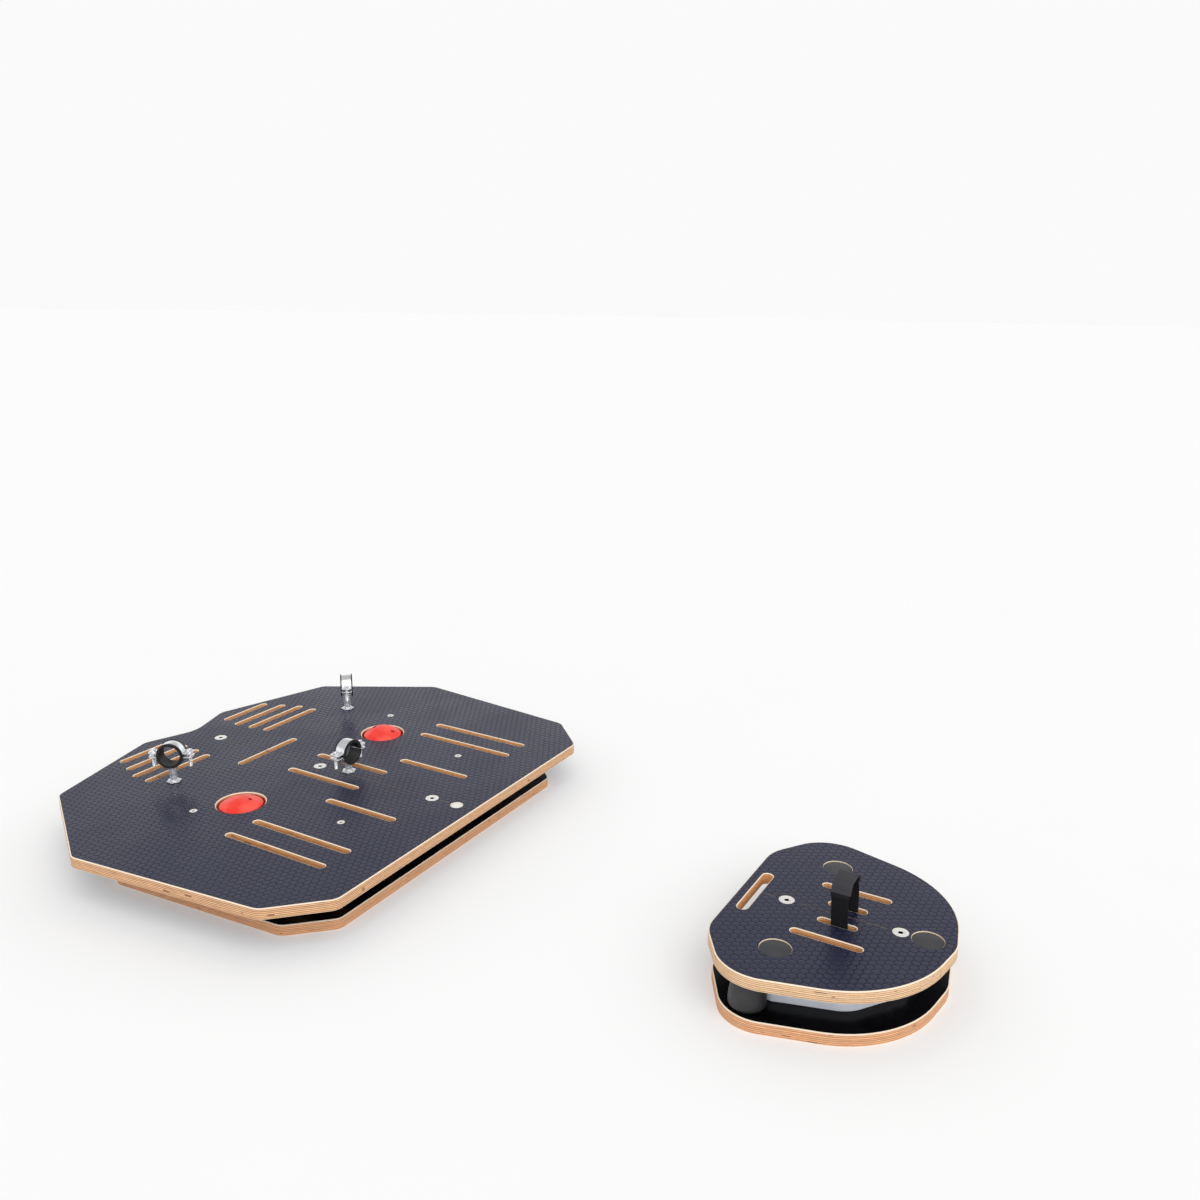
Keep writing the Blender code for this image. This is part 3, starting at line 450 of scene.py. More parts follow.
def zinc_look(name):
    """Bright zinc plate with soft cloudy patches and fine scratches."""
    look = Look(name)
    place = look.place()
    cloud = look.noise(place, 120.0, 3.0)
    patch = look.cells(look.vector("ADD", place, look.scaled(look.noise(place, 90.0), (0.004,) * 3)),
                       170.0, "Color")
    tone, _, _ = look.split(patch)
    scratch = look.noise(look.scaled(place, (300.0, 3000.0, 900.0)), 1.0, 2.0)
    tint = look.mix(look.ease(tone, 0.0, 1.0), (0.97, 0.98, 1.00), (0.86, 0.88, 0.91))
    rough = look.ease(cloud, 0.3, 0.7, 0.16, 0.30)
    return look.done(tint, rough, look.bump(scratch, 0.00001, 0.5), Metallic=0.75)


def moulded_look(name, colour, lighter, rough, grain_size, depth, **sockets):
    """Moulded rubber or plastic: fine grain, and slow changes of tone."""
    look = Look(name)
    place = look.place()
    grain = look.noise(place, 1 / grain_size, 3.0, 0.6)
    cloud = look.noise(place, 30.0, 4.0)
    tint = look.mix(look.ease(cloud, 0.35, 0.75), colour, lighter)
    return look.done(tint, look.ease(grain, 0.3, 0.7, rough - 0.07, rough + 0.07),
                     look.bump(grain, depth, 0.6), **sockets)


def ball_look():
    """Soft red rubber with a fine skin, paler toward the top of its dome as a painted highlight, and dark
    red from just under the board's face downward, in the trough by the hole's wall and below, as painted
    shade.

    The v of the ball's mesh is the skin's height at rest, so the painted highlight and shade ride on the
    skin as it moves.
    """
    look = Look("red_rubber_ball")
    place = look.place()
    _, height, _ = look.split(look.add("ShaderNodeTexCoord", output="UV"))
    cloud = look.noise(place, 34.0, 3.0)
    skin = look.noise(place, 1300.0, 2.0)
    pucker = look.noise(place, 160.0, 3.0)
    tint = look.mix(look.ease(cloud, 0.35, 0.65), (0.90, 0.024, 0.014), (1.0, 0.105, 0.070))
    # Painted highlight: paler toward the top of the dome
    dome_highlight = look.ease(height, 0.080, 0.090, 0.0, 0.3)
    tint = look.mix(dome_highlight, tint, (0.96, 0.090, 0.065))
    # Painted shade: dark red from just under the board's face downward, in the trough by the wall and on the
    # body below
    tint = look.mix(look.ease(height, 0.0800, 0.0765, 0.0, 0.85), tint, (0.16, 0.004, 0.003))
    normal = look.bump(pucker, 0.00016, 0.6)
    normal = look.bump(skin, 0.00003, 0.5, normal)
    return look.done(tint, look.ease(skin, 0.3, 0.7, 0.34, 0.48), normal, Subsurface_Weight=0.06,
                     Subsurface_Radius=(0.004, 0.0008, 0.0005))


def foam_look():
    """Pale closed-cell foam board."""
    look = Look("pale_foam")
    place = look.place()
    cells = look.cells(place, 900.0)
    cloud = look.noise(place, 26.0, 3.0)
    tint = look.mix(look.ease(cloud, 0.3, 0.7), (0.80, 0.84, 0.92), (0.88, 0.91, 0.97))
    tint = look.mix(look.ease(cells, 0.05, 0.35, 0.20, 0.0), tint, (0.60, 0.66, 0.76))
    return look.done(tint, look.ease(cloud, 0.3, 0.7, 0.60, 0.75), look.bump(cells, 0.00010, 0.5))


# Pitch of the strap's ribs, across it, and of its weft, along it
RIB = 0.0016
WEFT = 0.0011


def webbing_look(name, colour, lighter):
    """Woven nylon strap; the u and v of its mesh are metres across and along it."""
    look = Look(name)
    place = look.add("ShaderNodeTexCoord", output="UV")
    u, v, _ = look.split(place)
    rib = look.math("SINE", look.math("MULTIPLY", u, 2 * math.pi / RIB))
    odd = look.math("SIGN", rib)
    weft = look.math("SINE", look.math("ADD", look.math("MULTIPLY", v, 2 * math.pi / WEFT),
                                       look.math("MULTIPLY", odd, math.pi / 2)))
    weave = look.math("MULTIPLY", look.math("ADD", look.math("ABSOLUTE", rib), 0.3),
                      look.math("ADD", look.math("MULTIPLY", weft, 0.35), 0.65))
    fibre = look.noise(look.scaled(place, (9000.0, 900.0, 1.0)), 1.0, 2.0)
    tint = look.mix(look.ease(weave, 0.1, 1.0), colour, lighter)
    tint = look.mix(look.ease(fibre, 0.4, 0.7, 0.0, 0.3), tint, lighter)
    return look.done(tint, look.ease(fibre, 0.3, 0.7, 0.62, 0.80),
                     look.bump(weave, 0.00025, 0.9), Specular_IOR_Level=0.25)


def lens_look():
    """Clear acrylic with fine scratches."""
    look = Look("clear_acrylic")
    place = look.place()
    haze = look.noise(place, 500.0, 3.0)
    tint = look.mix(look.ease(haze, 0.3, 0.7), (0.99, 0.98, 0.95), (0.97, 0.96, 0.92))
    return look.done(tint, look.ease(haze, 0.3, 0.7, 0.06, 0.12), look.bump(haze, 0.000004, 0.2),
                     Transmission_Weight=0.15, IOR=1.45)


def arc(centre, radius, start, end, steps):
    """Points along an arc, both ends included."""
    x, y = centre
    turns = [start + (end - start) * k / steps for k in range(steps + 1)]
    return [(x + radius * math.cos(turn), y + radius * math.sin(turn)) for turn in turns]


def mirrored(near):
    """Corners of a whole outline from those of its near side."""
    far = [(x, -y, radius) for x, y, radius in reversed(near) if y != 0]
    return list(near) + far


def directions(corners, index):
    """Unit vectors along the two edges that meet at a corner, and the turn between them."""
    here = Vector(corners[index][:2])
    before = (here - Vector(corners[index - 1][:2])).normalized()
    after = (Vector(corners[(index + 1) % len(corners)][:2]) - here).normalized()
    turn = math.atan2(before.cross(after), before.dot(after))
    return here, before, after, turn


def rounded(corners):
    """Closed outline through corners (x, y, radius), with an arc at each."""
    points = []
    for index, (_, _, radius) in enumerate(corners):
        here, before, _, turn = directions(corners, index)
        start = here - before * radius * math.tan(abs(turn) / 2)
        inward = Vector((-before.y, before.x)) * math.copysign(radius, turn)
        steps = max(3, round(abs(turn) / ARC_STEP))
        for k in range(steps + 1):
            spoke = Matrix.Rotation(turn * k / steps, 2) @ -inward
            points.append(tuple(start + inward + spoke))
    return points


def inset(corners, distance):
    """The same corners drawn in by a distance, their arcs about the same centres."""
    drawn = []
    for index, (_, _, radius) in enumerate(corners):
        here, before, after, turn = directions(corners, index)
        left = Vector((-before.y, before.x)) + Vector((-after.y, after.x))
        moved = here + left * distance / (1 + before.dot(after))
        drawn.append((moved.x, moved.y, max(radius - math.copysign(distance, turn), TIGHTEST)))
    return drawn


def outline_of(corners):
    """An outline as a function of how far it is drawn in."""
    return lambda distance: rounded(inset(corners, distance))


def slot_of(ends, width):
    """A slot as a function of how far its rim is widened."""
    start, end = Vector(ends[0]), Vector(ends[1])
    heading = math.atan2(end.y - start.y, end.x - start.x)
    quarter = math.pi / 2
    along = (end - start).normalized() * width / 2

    def drawn(widened):
        radius = width / 2 + widened
        front = arc(end - along, radius, heading - quarter, heading + quarter, 12)
        back = arc(start + along, radius, heading + quarter, heading + 3 * quarter, 12)
        return front + back

    return drawn


def circle_of(centre, radius):
    """A circle as a function of how far its rim is widened."""
    return lambda widened: arc(centre, radius + widened, 0.0, 2 * math.pi, FINE)[:-1]


def groove_of(start, end):
    """An engraved line on the centre line, as a function of how far its rim is widened."""
    half = GROOVE_WIDTH / 2

    def drawn(widened):
        across, low, high = half + widened, start - widened, end + widened
        return [(low, -across), (high, -across), (high, across), (low, across)]

    return drawn


def both_sides(slots):
    """Each slot and its mirror image on the other side."""
    return [tuple((x, side * y) for x, y in ends) for ends in slots for side in (1, -1)]


def loft(shape, loops, paint=0, caps=(True, True)):
    """Skin through closed loops of points; a loop of one point is a tip."""
    rows = [[shape.verts.new(point) for point in loop] for loop in loops]
    for low, high in zip(rows, rows[1:]):
        count = max(len(low), len(high))
        for k in range(count):
            step = (k + 1) % count
            corners = [low[k % len(low)], low[step % len(low)]]
            corners += [high[step % len(high)], high[k % len(high)]]
            face = shape.faces.new(list(dict.fromkeys(corners)))
            face.material_index = paint
    for row, closed in zip((rows[0], rows[-1]), caps):
        if closed and len(row) > 2:
            shape.faces.new(row).material_index = paint


def ring(radius, height, steps=FINE):
    """A level loop; its radius is a number or a function of the angle."""
    if radius == 0:
        return [(0.0, 0.0, height)]
    loop = []
    for k in range(steps):
        turn = 2 * math.pi * k / steps
        reach = radius(turn) if callable(radius) else radius
        loop.append((reach * math.cos(turn), reach * math.sin(turn), height))
    return loop


def lathe(shape, profile, steps=FINE):
    """Turned skin down a profile of (radius, height)."""
    loft(shape, [ring(radius, height, steps) for radius, height in profile])


def softened(profile, radius, steps=3):
    """A profile of (radius, height) with its inner corners rounded off."""
    points = [Vector(point) for point in profile]
    made = [profile[0]]
    for before, here, after in zip(points, points[1:], points[2:]):
        back, ahead = before - here, after - here
        room = min(radius, back.length * 0.45, ahead.length * 0.45)
        start, end = here + back.normalized() * room, here + ahead.normalized() * room
        for k in range(steps + 1):
            share = k / steps
            point = start * (1 - share) ** 2 + here * 2 * share * (1 - share) + end * share ** 2
            made.append((max(point.x, 0.0), point.y))
    made.append(profile[-1])
    return made


def hexagon(flats):
    """Radius of a hexagon by angle."""
    def reach(turn):
        local = turn % (math.pi / 3) - math.pi / 6
        return flats / 2 / math.cos(local)

    return reach


def chamfered_hexagon(flats, limit):
    """Radius of a hexagon whose corners are turned down to a limit."""
    whole = hexagon(flats)
    return lambda turn: min(whole(turn), limit)


def thread(radius, depth, pitch, low, high):
    """Loops of a screw thread, tip chamfered at its low end."""
    count = max(2, round((high - low) / pitch * 6))
    loops = []
    for k in range(count + 1):
        height = low + (high - low) * k / count

        def reach(turn, height=height):
            phase = (height / pitch - turn / (2 * math.pi)) % 1.0
            fade = min(1.0, (height - low) / pitch + 0.15)
            groove = depth * (1 - abs(2 * phase - 1)) * fade
            return radius - groove - depth * max(0.0, 1 - (height - low) / pitch)

        loops.append(ring(reach, height, THREAD_FINE))
    return loops


def fill(shape, loops, height, paint):
    """Flat face at a height: the first loop is its outline, the others are holes in it."""
    points, rims = [], []
    for loop in loops:
        rims.append(list(range(len(points), len(points) + len(loop))))
        points += [Vector(point) for point in loop]
    places, _, faces, _, _, _ = delaunay_2d_cdt(points, [], rims, 2, 1e-7)
    corners = [shape.verts.new((place.x, place.y, height)) for place in places]
    for face in faces:
        shape.faces.new([corners[k] for k in face]).material_index = paint


def edge_profile(thickness, high, low):
    """How far in, and how high, down the side of a plate with rounded edges."""
    points = []
    for k in range(EDGE_STEPS + 1):
        turn = math.pi / 2 * k / EDGE_STEPS
        points.append((high * (1 - math.sin(turn)), thickness - high * (1 - math.cos(turn))))
    for k in range(EDGE_STEPS + 1):
        turn = math.pi / 2 * k / EDGE_STEPS
        points.append((low * (1 - math.cos(turn)), low * (1 - math.sin(turn))))
    return points


def plate(shape, outer, thickness, holes=(), pockets=(), edges=(TOP_EDGE, BOTTOM_EDGE), faces=(0, 1)):
    """Plate on z = 0 with rounded edges.

    The outline and each hole are functions of an offset into the material. A hole has its own
    profile of (offset, height) through the plate; a pocket's profile stops at its floor. Either may
    name a paint of its own after its profile.
    """
    film, ply = faces
    tops, bottoms = [], []
    for drawn, profile, *paint in [(outer, edge_profile(thickness, *edges))] + list(holes):
        loops = [[(x, y, height) for x, y in drawn(offset)] for offset, height in profile]
        loft(shape, loops, paint[0] if paint else ply, (False, False))
        tops.append(drawn(profile[0][0]))
        bottoms.append(drawn(profile[-1][0]))
    for drawn, profile, *paint in pockets:
        loops = [[(x, y, height) for x, y in drawn(offset)] for offset, height in profile]
        loft(shape, loops, paint[0] if paint else ply, (False, True))
        tops.append(drawn(profile[0][0]))
    fill(shape, tops, thickness, film)
    fill(shape, bottoms, 0.0, film)
    bmesh.ops.remove_doubles(shape, verts=shape.verts, dist=2e-6)


def sharpen(shape):
    """Marks as sharp the edges between faces of unlike paint."""
    for edge in shape.edges:
        if len({face.material_index for face in edge.link_faces}) > 1:
            edge.smooth = False


def piece(name, shape, looks, slot, body, nodes=(), place=None):
    """Adds a finished piece to the scene, in place of its nodes."""
    mesh = bpy.data.meshes.new(name)
    bmesh.ops.recalc_face_normals(shape, faces=shape.faces)
    shape.edges.index_update()
    hard = [edge.index for edge in shape.edges if not edge.smooth]
    shape.to_mesh(mesh)
    shape.free()
    for look in looks:
        mesh.materials.append(look)
    mesh.shade_smooth()
    mesh.set_sharp_from_angle(angle=SMOOTH_ANGLE)
    sharp = mesh.attributes["sharp_edge"].data if "sharp_edge" in mesh.attributes else None
    if sharp is None and hard:
        sharp = mesh.attributes.new("sharp_edge", "BOOLEAN", "EDGE").data
    for index in hard:
        sharp[index].value = True
    made = bpy.data.objects.new(name, mesh)
    bpy.context.scene.collection.objects.link(made)
    if place is not None:
        made.matrix_world = place
    if nodes:
        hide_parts(*nodes)
    if body:
        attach(made, body)
    return made


def middle(node):
    """Middle of a node in plan, with its lowest and highest points."""
    low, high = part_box(node)
    return (low[0] + high[0]) / 2, (low[1] + high[1]) / 2, low[2], high[2]


def round_node(node):
    """What middle gives of a round node, and its radius."""
    x, y, low, high = middle(node)
    return x, y, low, high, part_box(node)[1][0] - x


def turned(name, profile, soft, look, slot, body, nodes, place, steps=FINE, bends=3):
    """Adds a piece turned down a profile of (radius, height), its inner corners rounded off."""
    shape = bmesh.new()
    lathe(shape, softened(profile, soft, bends), steps)
    return piece(name, shape, (look,), slot, body, nodes, place)


def at(x, y, z, heading=0.0):
    """Place of a piece, turned about the vertical."""
    return Matrix.Translation((x, y, z)) @ Matrix.Rotation(heading, 4, "Z")


def slot_side():
    """Profile down through a board at a slot."""
    return edge_profile(BOARD, SLOT_EDGE, BOTTOM_EDGE)


def seat(depth):
    """Profile of a straight pocket with a slightly broken rim."""
    return [(SEAT_SPACE + 0.0003, BOARD), (SEAT_SPACE, BOARD - 0.0003), (SEAT_SPACE, BOARD - depth)]


def countersink(depth):
    """Profile of a conical pocket for a screw head."""
    return [(SEAT_SPACE, BOARD), (SEAT_SPACE - 0.0002, BOARD - 0.0005), (-depth, BOARD - depth)]


def grooves(spans):
    """Pockets for engraved lines on the centre line, each from one x to another."""
    profile = [(0.0001, BOARD), (0.0, BOARD - 0.0001), (-0.0002, BOARD - GROOVE_DEPTH)]
    return [(groove_of(*span), profile, GROOVE_PAINT) for span in spans]


def rear_boards():
    """Top and base boards of the rear unit."""
    _, _, low, _ = middle("rear_top_board")
    holes = [(slot_of(ends, SLOT_WIDTH), slot_side(), SLOT_SHADE_PAINT) for ends in both_sides(REAR_SLOTS)]
    holes.append((slot_of(REAR_MIDDLE_SLOT, SLOT_WIDTH), slot_side(), SLOT_SHADE_PAINT))
    for ball in ("near_ball", "far_ball"):
        x, y, _, _ = middle(ball)
        rim = [(BALL_RIM, BOARD), (BALL_RIM - 0.0003, BOARD - 0.0006), (0.0006, BOARD - 0.0016),
               (0.0, BOARD - 0.0024)]
        rim += slot_side()[EDGE_STEPS + 1:]
        holes.append((circle_of((x, y), BALL_HOLE), rim))
    pockets = []
    bolts = [middle("rear_pivot_bolt_" + name) for name in ("back", "middle", "front")]
    for x, y, _, _ in bolts:
        pockets.append((circle_of((x, y), BOLT_SEAT[0]), countersink(BOLT_SEAT[1])))
    for name in SCREW_PLACES:
        x, y, _, _ = middle("buffer_screw_" + name)
        pockets.append((circle_of((x, y), SCREW_SEAT[0]), countersink(SCREW_SEAT[1])))
    x, y, _, _ = middle("level_cup")
    pockets.append((circle_of((x, y), LEVEL_SEAT[0]), seat(LEVEL_SEAT[1])))
    spans = [(a[0] + GROOVE_STOP, b[0] - GROOVE_STOP) for a, b in zip(bolts, bolts[1:])]
    spans.append((bolts[-1][0] + GROOVE_STOP, x - LEVEL_SEAT[0] - 2 * GROOVE_WIDTH))
    spans.append(REAR_TICK)
    shape = bmesh.new()
    plate(shape, outline_of(mirrored(REAR_TOP)), BOARD, holes, pockets + grooves(spans))
    sharpen(shape)
    piece("rear_deck", shape, (film_rear, ply_rear, ply_slot_shaded, groove_wood), "film_faced_plywood", "rear_top",
          ["rear_top_board"], at(0.0, 0.0, low))
    shape = bmesh.new()
    plate(shape, outline_of(mirrored(REAR_BASE)), BOARD)
    sharpen(shape)
    piece("rear_plinth", shape, (film_gloss, ply_base), "film_faced_plywood", "base", ["rear_base_board"],
          at(0.0, 0.0, 0.0))


def front_boards():
    """Top and base boards of the front unit."""
    _, _, low, _ = middle("front_top_board")
    holes = [(slot_of(ends, SLOT_WIDTH), slot_side(), SLOT_SHADE_PAINT) for ends in both_sides(FRONT_SLOTS)]
    holes.append((slot_of(FRONT_MIDDLE_SLOT, FRONT_MIDDLE_WIDTH), slot_side(), SLOT_SHADE_PAINT))
    pockets = []
    bolts = [middle("front_pivot_bolt_" + name)[0] - FRONT_X for name in ("back", "front")]
    for x in bolts:
        pockets.append((circle_of((x, 0.0), BOLT_SEAT[0]), countersink(BOLT_SEAT[1])))
    for name in PAD_PLACES:
        x, y, floor, _, radius = round_node("inlay_pad_" + name)
        pockets.append((circle_of((x - FRONT_X, y), radius), seat(low + BOARD - floor + FIT)))
    first = FRONT_MIDDLE_SLOT[0][0] + FRONT_MIDDLE_WIDTH / 2 + 2 * GROOVE_WIDTH
    spans = [(first, bolts[0] - GROOVE_STOP), (bolts[0] + GROOVE_STOP, bolts[1] - GROOVE_STOP)]
    spans += FRONT_TICKS
    shape = bmesh.new()
    plate(shape, outline_of(mirrored(FRONT_TOP)), BOARD, holes, pockets + grooves(spans))
    sharpen(shape)
    piece("front_deck", shape, (film_front, ply_front, ply_slot_shaded, groove_wood), "film_faced_plywood",
          "front_top", ["front_top_board"], at(FRONT_X, 0.0, low))
    shape = bmesh.new()
    plate(shape, outline_of(mirrored(FRONT_BASE)), BOARD)
    sharpen(shape)
    piece("front_plinth", shape, (film_gloss, ply_base), "film_faced_plywood", "base", ["front_base_board"],
          at(FRONT_X, 0.0, 0.0))


def slab():
    """Foam slab on the front base: notched round the bumpers, with windows for the pivots."""
    low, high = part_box("front_slab")
    thickness = high[2] - low[2]
    profile = edge_profile(thickness, *SLAB_EDGES)
    length, width, corner = SLAB_WINDOW
    holes = []
    for name in ("back", "front"):
        x, y, _, _ = middle("front_pivot_block_" + name)
        x -= FRONT_X
        window = ((x - length, y - width, corner), (x + length, y - width, corner),
                  (x + length, y + width, corner), (x - length, y + width, corner))
        holes.append((lambda widened, window=window: rounded(inset(window, -widened)), profile))
    shape = bmesh.new()
    plate(shape, slab_outline(), thickness, holes, (), SLAB_EDGES, (0, 0))
    piece("front_foam_slab", shape, (foam,), "pale_plastic", "base", ["front_slab"],
          at(FRONT_X, 0.0, low[2]))


def slab_outline():
    """The slab's outline less a round notch at each bumper, as a function of an offset."""
    centres = []
    for name in ("near", "far"):
        x, y, _, _, radius = round_node("bumper_" + name)
        centres.append((Vector((x - FRONT_X, y)), radius + NOTCH_SPACE))

    def drawn(offset):
        points = [Vector(point) for point in rounded(inset(mirrored(SLAB_OUTLINE), offset))]
        made = []
        for point in dense(points):
            for centre, radius in centres:
                away = point - centre
                if away.length < radius + offset:
                    point = centre + away.normalized() * (radius + offset)
            made.append(tuple(point))
        return made

    return drawn


def dense(points):
    """More points along the long straight runs of an outline, as many whatever its offset."""
    made = []
    count = len(points)
    for index in range(count):
        here, after = points[index], points[(index + 1) % count]
        made.append(here)
        if (after - here).length > 0.02:
            made += [here.lerp(after, k / DENSE) for k in range(1, DENSE)]
    return made


def ball(node, contact, plugs):
    """Soft ball squeezed between the boards, domed in its hole, with its small filling plugs."""
    x, y, low, high = middle(node)
    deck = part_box("rear_top_board")[1][2]
    wall = BALL_HOLE - FIT
    rise = high - deck + contact
    crown = (wall ** 2 + rise ** 2) / (2 * rise)

    def skin(reach):
        return high - crown + math.sqrt(crown ** 2 - reach ** 2)

    profile = []
    for k in range(DOME_STEPS + 1):
        reach = (wall - 0.0030) * k / DOME_STEPS
        profile.append((reach, skin(reach)))
    trough = skin(wall) - 0.0012
    profile += [(wall - 0.0018, trough), (wall - 0.0010, trough), (wall - 0.0002, deck - 0.0040),
                (wall, deck - 0.0030)]
    axis = (low + deck - BOARD) / 2
    half = axis - low
    swell = math.acos((wall - BALL_FOOT) / (BALL_BULGE - BALL_FOOT))
    for k in range(1, SIDE_STEPS + 1):
        turn = swell - (swell + math.pi / 2) * k / SIDE_STEPS
        profile.append((BALL_FOOT + (BALL_BULGE - BALL_FOOT) * math.cos(turn), axis + half * math.sin(turn)))
    profile += [(0.018, low), (0.0, low)]
    shape = bmesh.new()
    lathe(shape, softened(profile, 0.0015, 2), ROUND)
    uv = shape.loops.layers.uv.verify()
    for face in shape.faces:
        for loop in face.loops:
            loop[uv].uv = (loop.vert.co.xy.length, loop.vert.co.z)
    whole = piece(node + "_skin", shape, (red,), "red_rubber", None, [node], at(x, y, 0.0))
    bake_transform(whole)
    for index, (plug_x, plug_y, heading) in enumerate(plugs, 1):
        out = Vector((plug_x - x, plug_y - y, 0.0))
        foot = Vector((plug_x, plug_y, skin(out.length)))
        out.z = math.sqrt(crown ** 2 - out.length ** 2)
        lean = Vector((0.0, 0.0, 1.0)).rotation_difference(out).to_matrix().to_4x4()
        place = Matrix.Translation(foot) @ lean @ Matrix.Rotation(math.radians(heading), 4, "Z")
        filling_plug("%s_plug_%d" % (node, index), place)


def filling_plug(name, place):
    """Small dark slit plug, sunk in a ball's skin, where the air goes in."""
    shape = bmesh.new()
    lathe(shape, softened([(0.0, -0.0001), (0.0012, 0.0), (0.0016, 0.0005), (0.0022, 0.0005),
                           (0.0026, -0.0006), (0.0, -0.0006)], 0.0002), 32)
    for vertex in shape.verts:
        vertex.co.x *= 1.35
    piece(name, shape, (socket_shade_and_plug,), "rubber", "rear_top", (), place)


def buffers():
    """Rubber stops under the rear board."""
    for name in SCREW_PLACES:
        node = "stop_buffer_" + name
        x, y, low, high, radius = round_node(node)
        profile = [(0.0, high), (radius - 0.001, high), (radius, high - 0.001), (radius, high - 0.004),
                   (radius - 0.0008, high - 0.0045), (radius - 0.0008, low + 0.003), (radius - 0.0028, low),
                   (0.004, low), (0.0035, low + 0.0012), (0.0, low + 0.0012)]
        turned(node + "_fine", profile, 0.0006, black_rubber, "rubber", "rear_top", [node], at(x, y, 0.0))


def socket_head(node, socket, head_depth, body):
    """Countersunk steel screw with a hexagon socket, its inside painted near-black as shade, and a turned,
    slightly dished head.
    """
    x, y, low, high, radius = round_node(node)
    flats, depth = socket
    well = hexagon(flats)
    mouth = ring(well, -0.0004)
    shape = bmesh.new()
    # Inside of the socket: paint 1, near-black painted shade
    loft(shape, [ring(0.0, -depth), ring(lambda turn: well(turn) * 0.5, -depth + 0.0001),
                 ring(well, -depth + 0.0005), mouth], 1, (False, False))
    loft(shape, [mouth, ring(lambda turn: well(turn) + 0.0003, -0.0001), ring(flats * 0.72, -0.00005),
                 ring(flats * 0.75, -0.0003), ring(flats * 0.79, -0.0003), ring(flats * 0.82, 0.0),
                 ring(radius - 0.0012, 0.0), ring(radius - 0.0004, -0.0001), ring(radius, -0.0006),
                 ring(radius * 0.40, -head_depth)], 0, (False, True))
    bmesh.ops.remove_doubles(shape, verts=shape.verts, dist=1e-7)
    shaft = radius * 0.38
    rod = list(reversed(thread(shaft, 0.0004, 0.0010, low - high, -head_depth)))
    loft(shape, [ring(shaft, 0.0002 - head_depth, THREAD_FINE)] + rod)
    piece(node + "_fine", shape, (turned_steel, socket_shade_and_plug), "steel", body, [node],
          at(x, y, high, SOCKET_TURN))


def fasteners():
    """Pivot bolts and buffer screws."""
    for name in ("back", "middle", "front"):
        socket_head("rear_pivot_bolt_" + name, BOLT_SOCKET, BOLT_SEAT[1], "rear_top")
    for name in ("back", "front"):
        socket_head("front_pivot_bolt_" + name, BOLT_SOCKET, BOLT_SEAT[1], "front_top")
    for name in SCREW_PLACES:
        socket_head("buffer_screw_" + name, SCREW_SOCKET, SCREW_SEAT[1], "rear_top")


def axles():
    """Polished axle rods with chamfered ends."""
    for node in ("rear_axle_rod", "front_axle_rod"):
        low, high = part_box(node)
        radius = (high[2] - low[2]) / 2
        length = high[0] - low[0]
        profile = [(0.0, length), (radius - 0.001, length), (radius, length - 0.001), (radius, 0.001),
                   (radius - 0.001, 0.0), (0.0, 0.0)]
        turn = Matrix.Rotation(math.pi / 2, 4, "Y")
        place = Matrix.Translation((low[0], (low[1] + high[1]) / 2, (low[2] + high[2]) / 2)) @ turn
        turned(node + "_fine", profile, 0.0003, bar_steel, "steel", "base", [node], place)


def level():
    """Bull's-eye level: cup, lens and liquid."""
    x, y, low, high, radius = round_node("level_cup")
    depth = high - low
    inner = radius - 0.0021
    place = at(x, y, high)
    profile = [(0.0, -depth), (radius - 0.0004, -depth), (radius, -depth + 0.0004), (radius, -0.0004),
               (radius - 0.0004, 0.0), (inner + 0.0003, 0.0), (inner, -0.0003), (inner, -depth + 0.006),
               (0.0, -depth + 0.006)]
    turned("level_body", profile, 0.0002, cream, "white_plastic", "rear_top", ["level_cup"], place, bends=2)
    lens = inner - 0.0002
    profile = [(0.0, 0.0), (lens - 0.0008, -0.0001), (lens, -0.0006), (lens, -0.0030), (0.0, -0.0030)]
    turned("level_window", profile, 0.0002, lens_clear, "clear_plastic", "rear_top", ["level_lens"], place,
           bends=2)
    shape = bmesh.new()
    lathe(shape, [(0.0, -0.0032), (inner - 0.0003, -0.0032), (inner - 0.0003, -0.0048), (0.0, -0.0048)])
    piece("level_liquid", shape, (liquid,), "pale_plastic", "rear_top", (), place)


def band(side):
    """Middle line of half a clamp band in the plane across the tube, from ear to ear."""
    radius = TUBE_RADIUS + LINING + FIT + BAND / 2
    rise = EAR_GAP / 2 + BAND / 2
    fillet = math.sqrt((radius + EAR_FILLET) ** 2 - (rise + EAR_FILLET) ** 2)
    lean = math.atan2(rise + EAR_FILLET, fillet)
    run = [(EAR_REACH - k * (EAR_REACH - fillet) / EAR_STEPS, rise) for k in range(EAR_STEPS)]
    run += arc((fillet, rise + EAR_FILLET), EAR_FILLET, -math.pi / 2, -math.pi + lean, 6)
    crown = arc((0.0, 0.0), radius, lean, math.pi / 2, 20)[1:]
    points = run + crown
    points += [(-y, z) for y, z in reversed(points[:-1])]
    return [(y, side * z) for y, z in points]


def band_mesh(side, height):
    """Half a clamp band: a pressed steel strip with round ear corners and rolled edges."""
    line = [Vector(point) for point in band(side)]
    rows = []
    shape = bmesh.new()
    for index, point in enumerate(line):
        before, after = line[max(index - 1, 0)], line[min(index + 1, len(line) - 1)]
        along = (after - before).normalized()
        normal = Vector((-along.y, along.x))
        reach = min(EAR_REACH - abs(point.x), EAR_CORNER)
        half = BAND_HALF - (EAR_CORNER - math.sqrt(max(EAR_CORNER ** 2 - (EAR_CORNER - reach) ** 2, 0.0)))
        loop = []
        for across, out in strip_section(half, BAND / 2):
            place = point + normal * out
            loop.append((across, place.x, height + place.y))
        rows.append(loop)
    loft(shape, rows)
    return shape


def strip_section(half, thick):
    """Closed section of a flat strip with rounded edges: across, and out of its middle plane."""
    edge = min(thick * 0.9, half * 0.5)
    points = []
    corners = ((half - edge, thick - edge), (-half + edge, thick - edge),
               (-half + edge, -thick + edge), (half - edge, -thick + edge))
    for quarter, centre in enumerate(corners):
        begin = math.radians(90.0 * quarter)
        points += arc(centre, edge, begin, begin + math.pi / 2, 3)
    return points


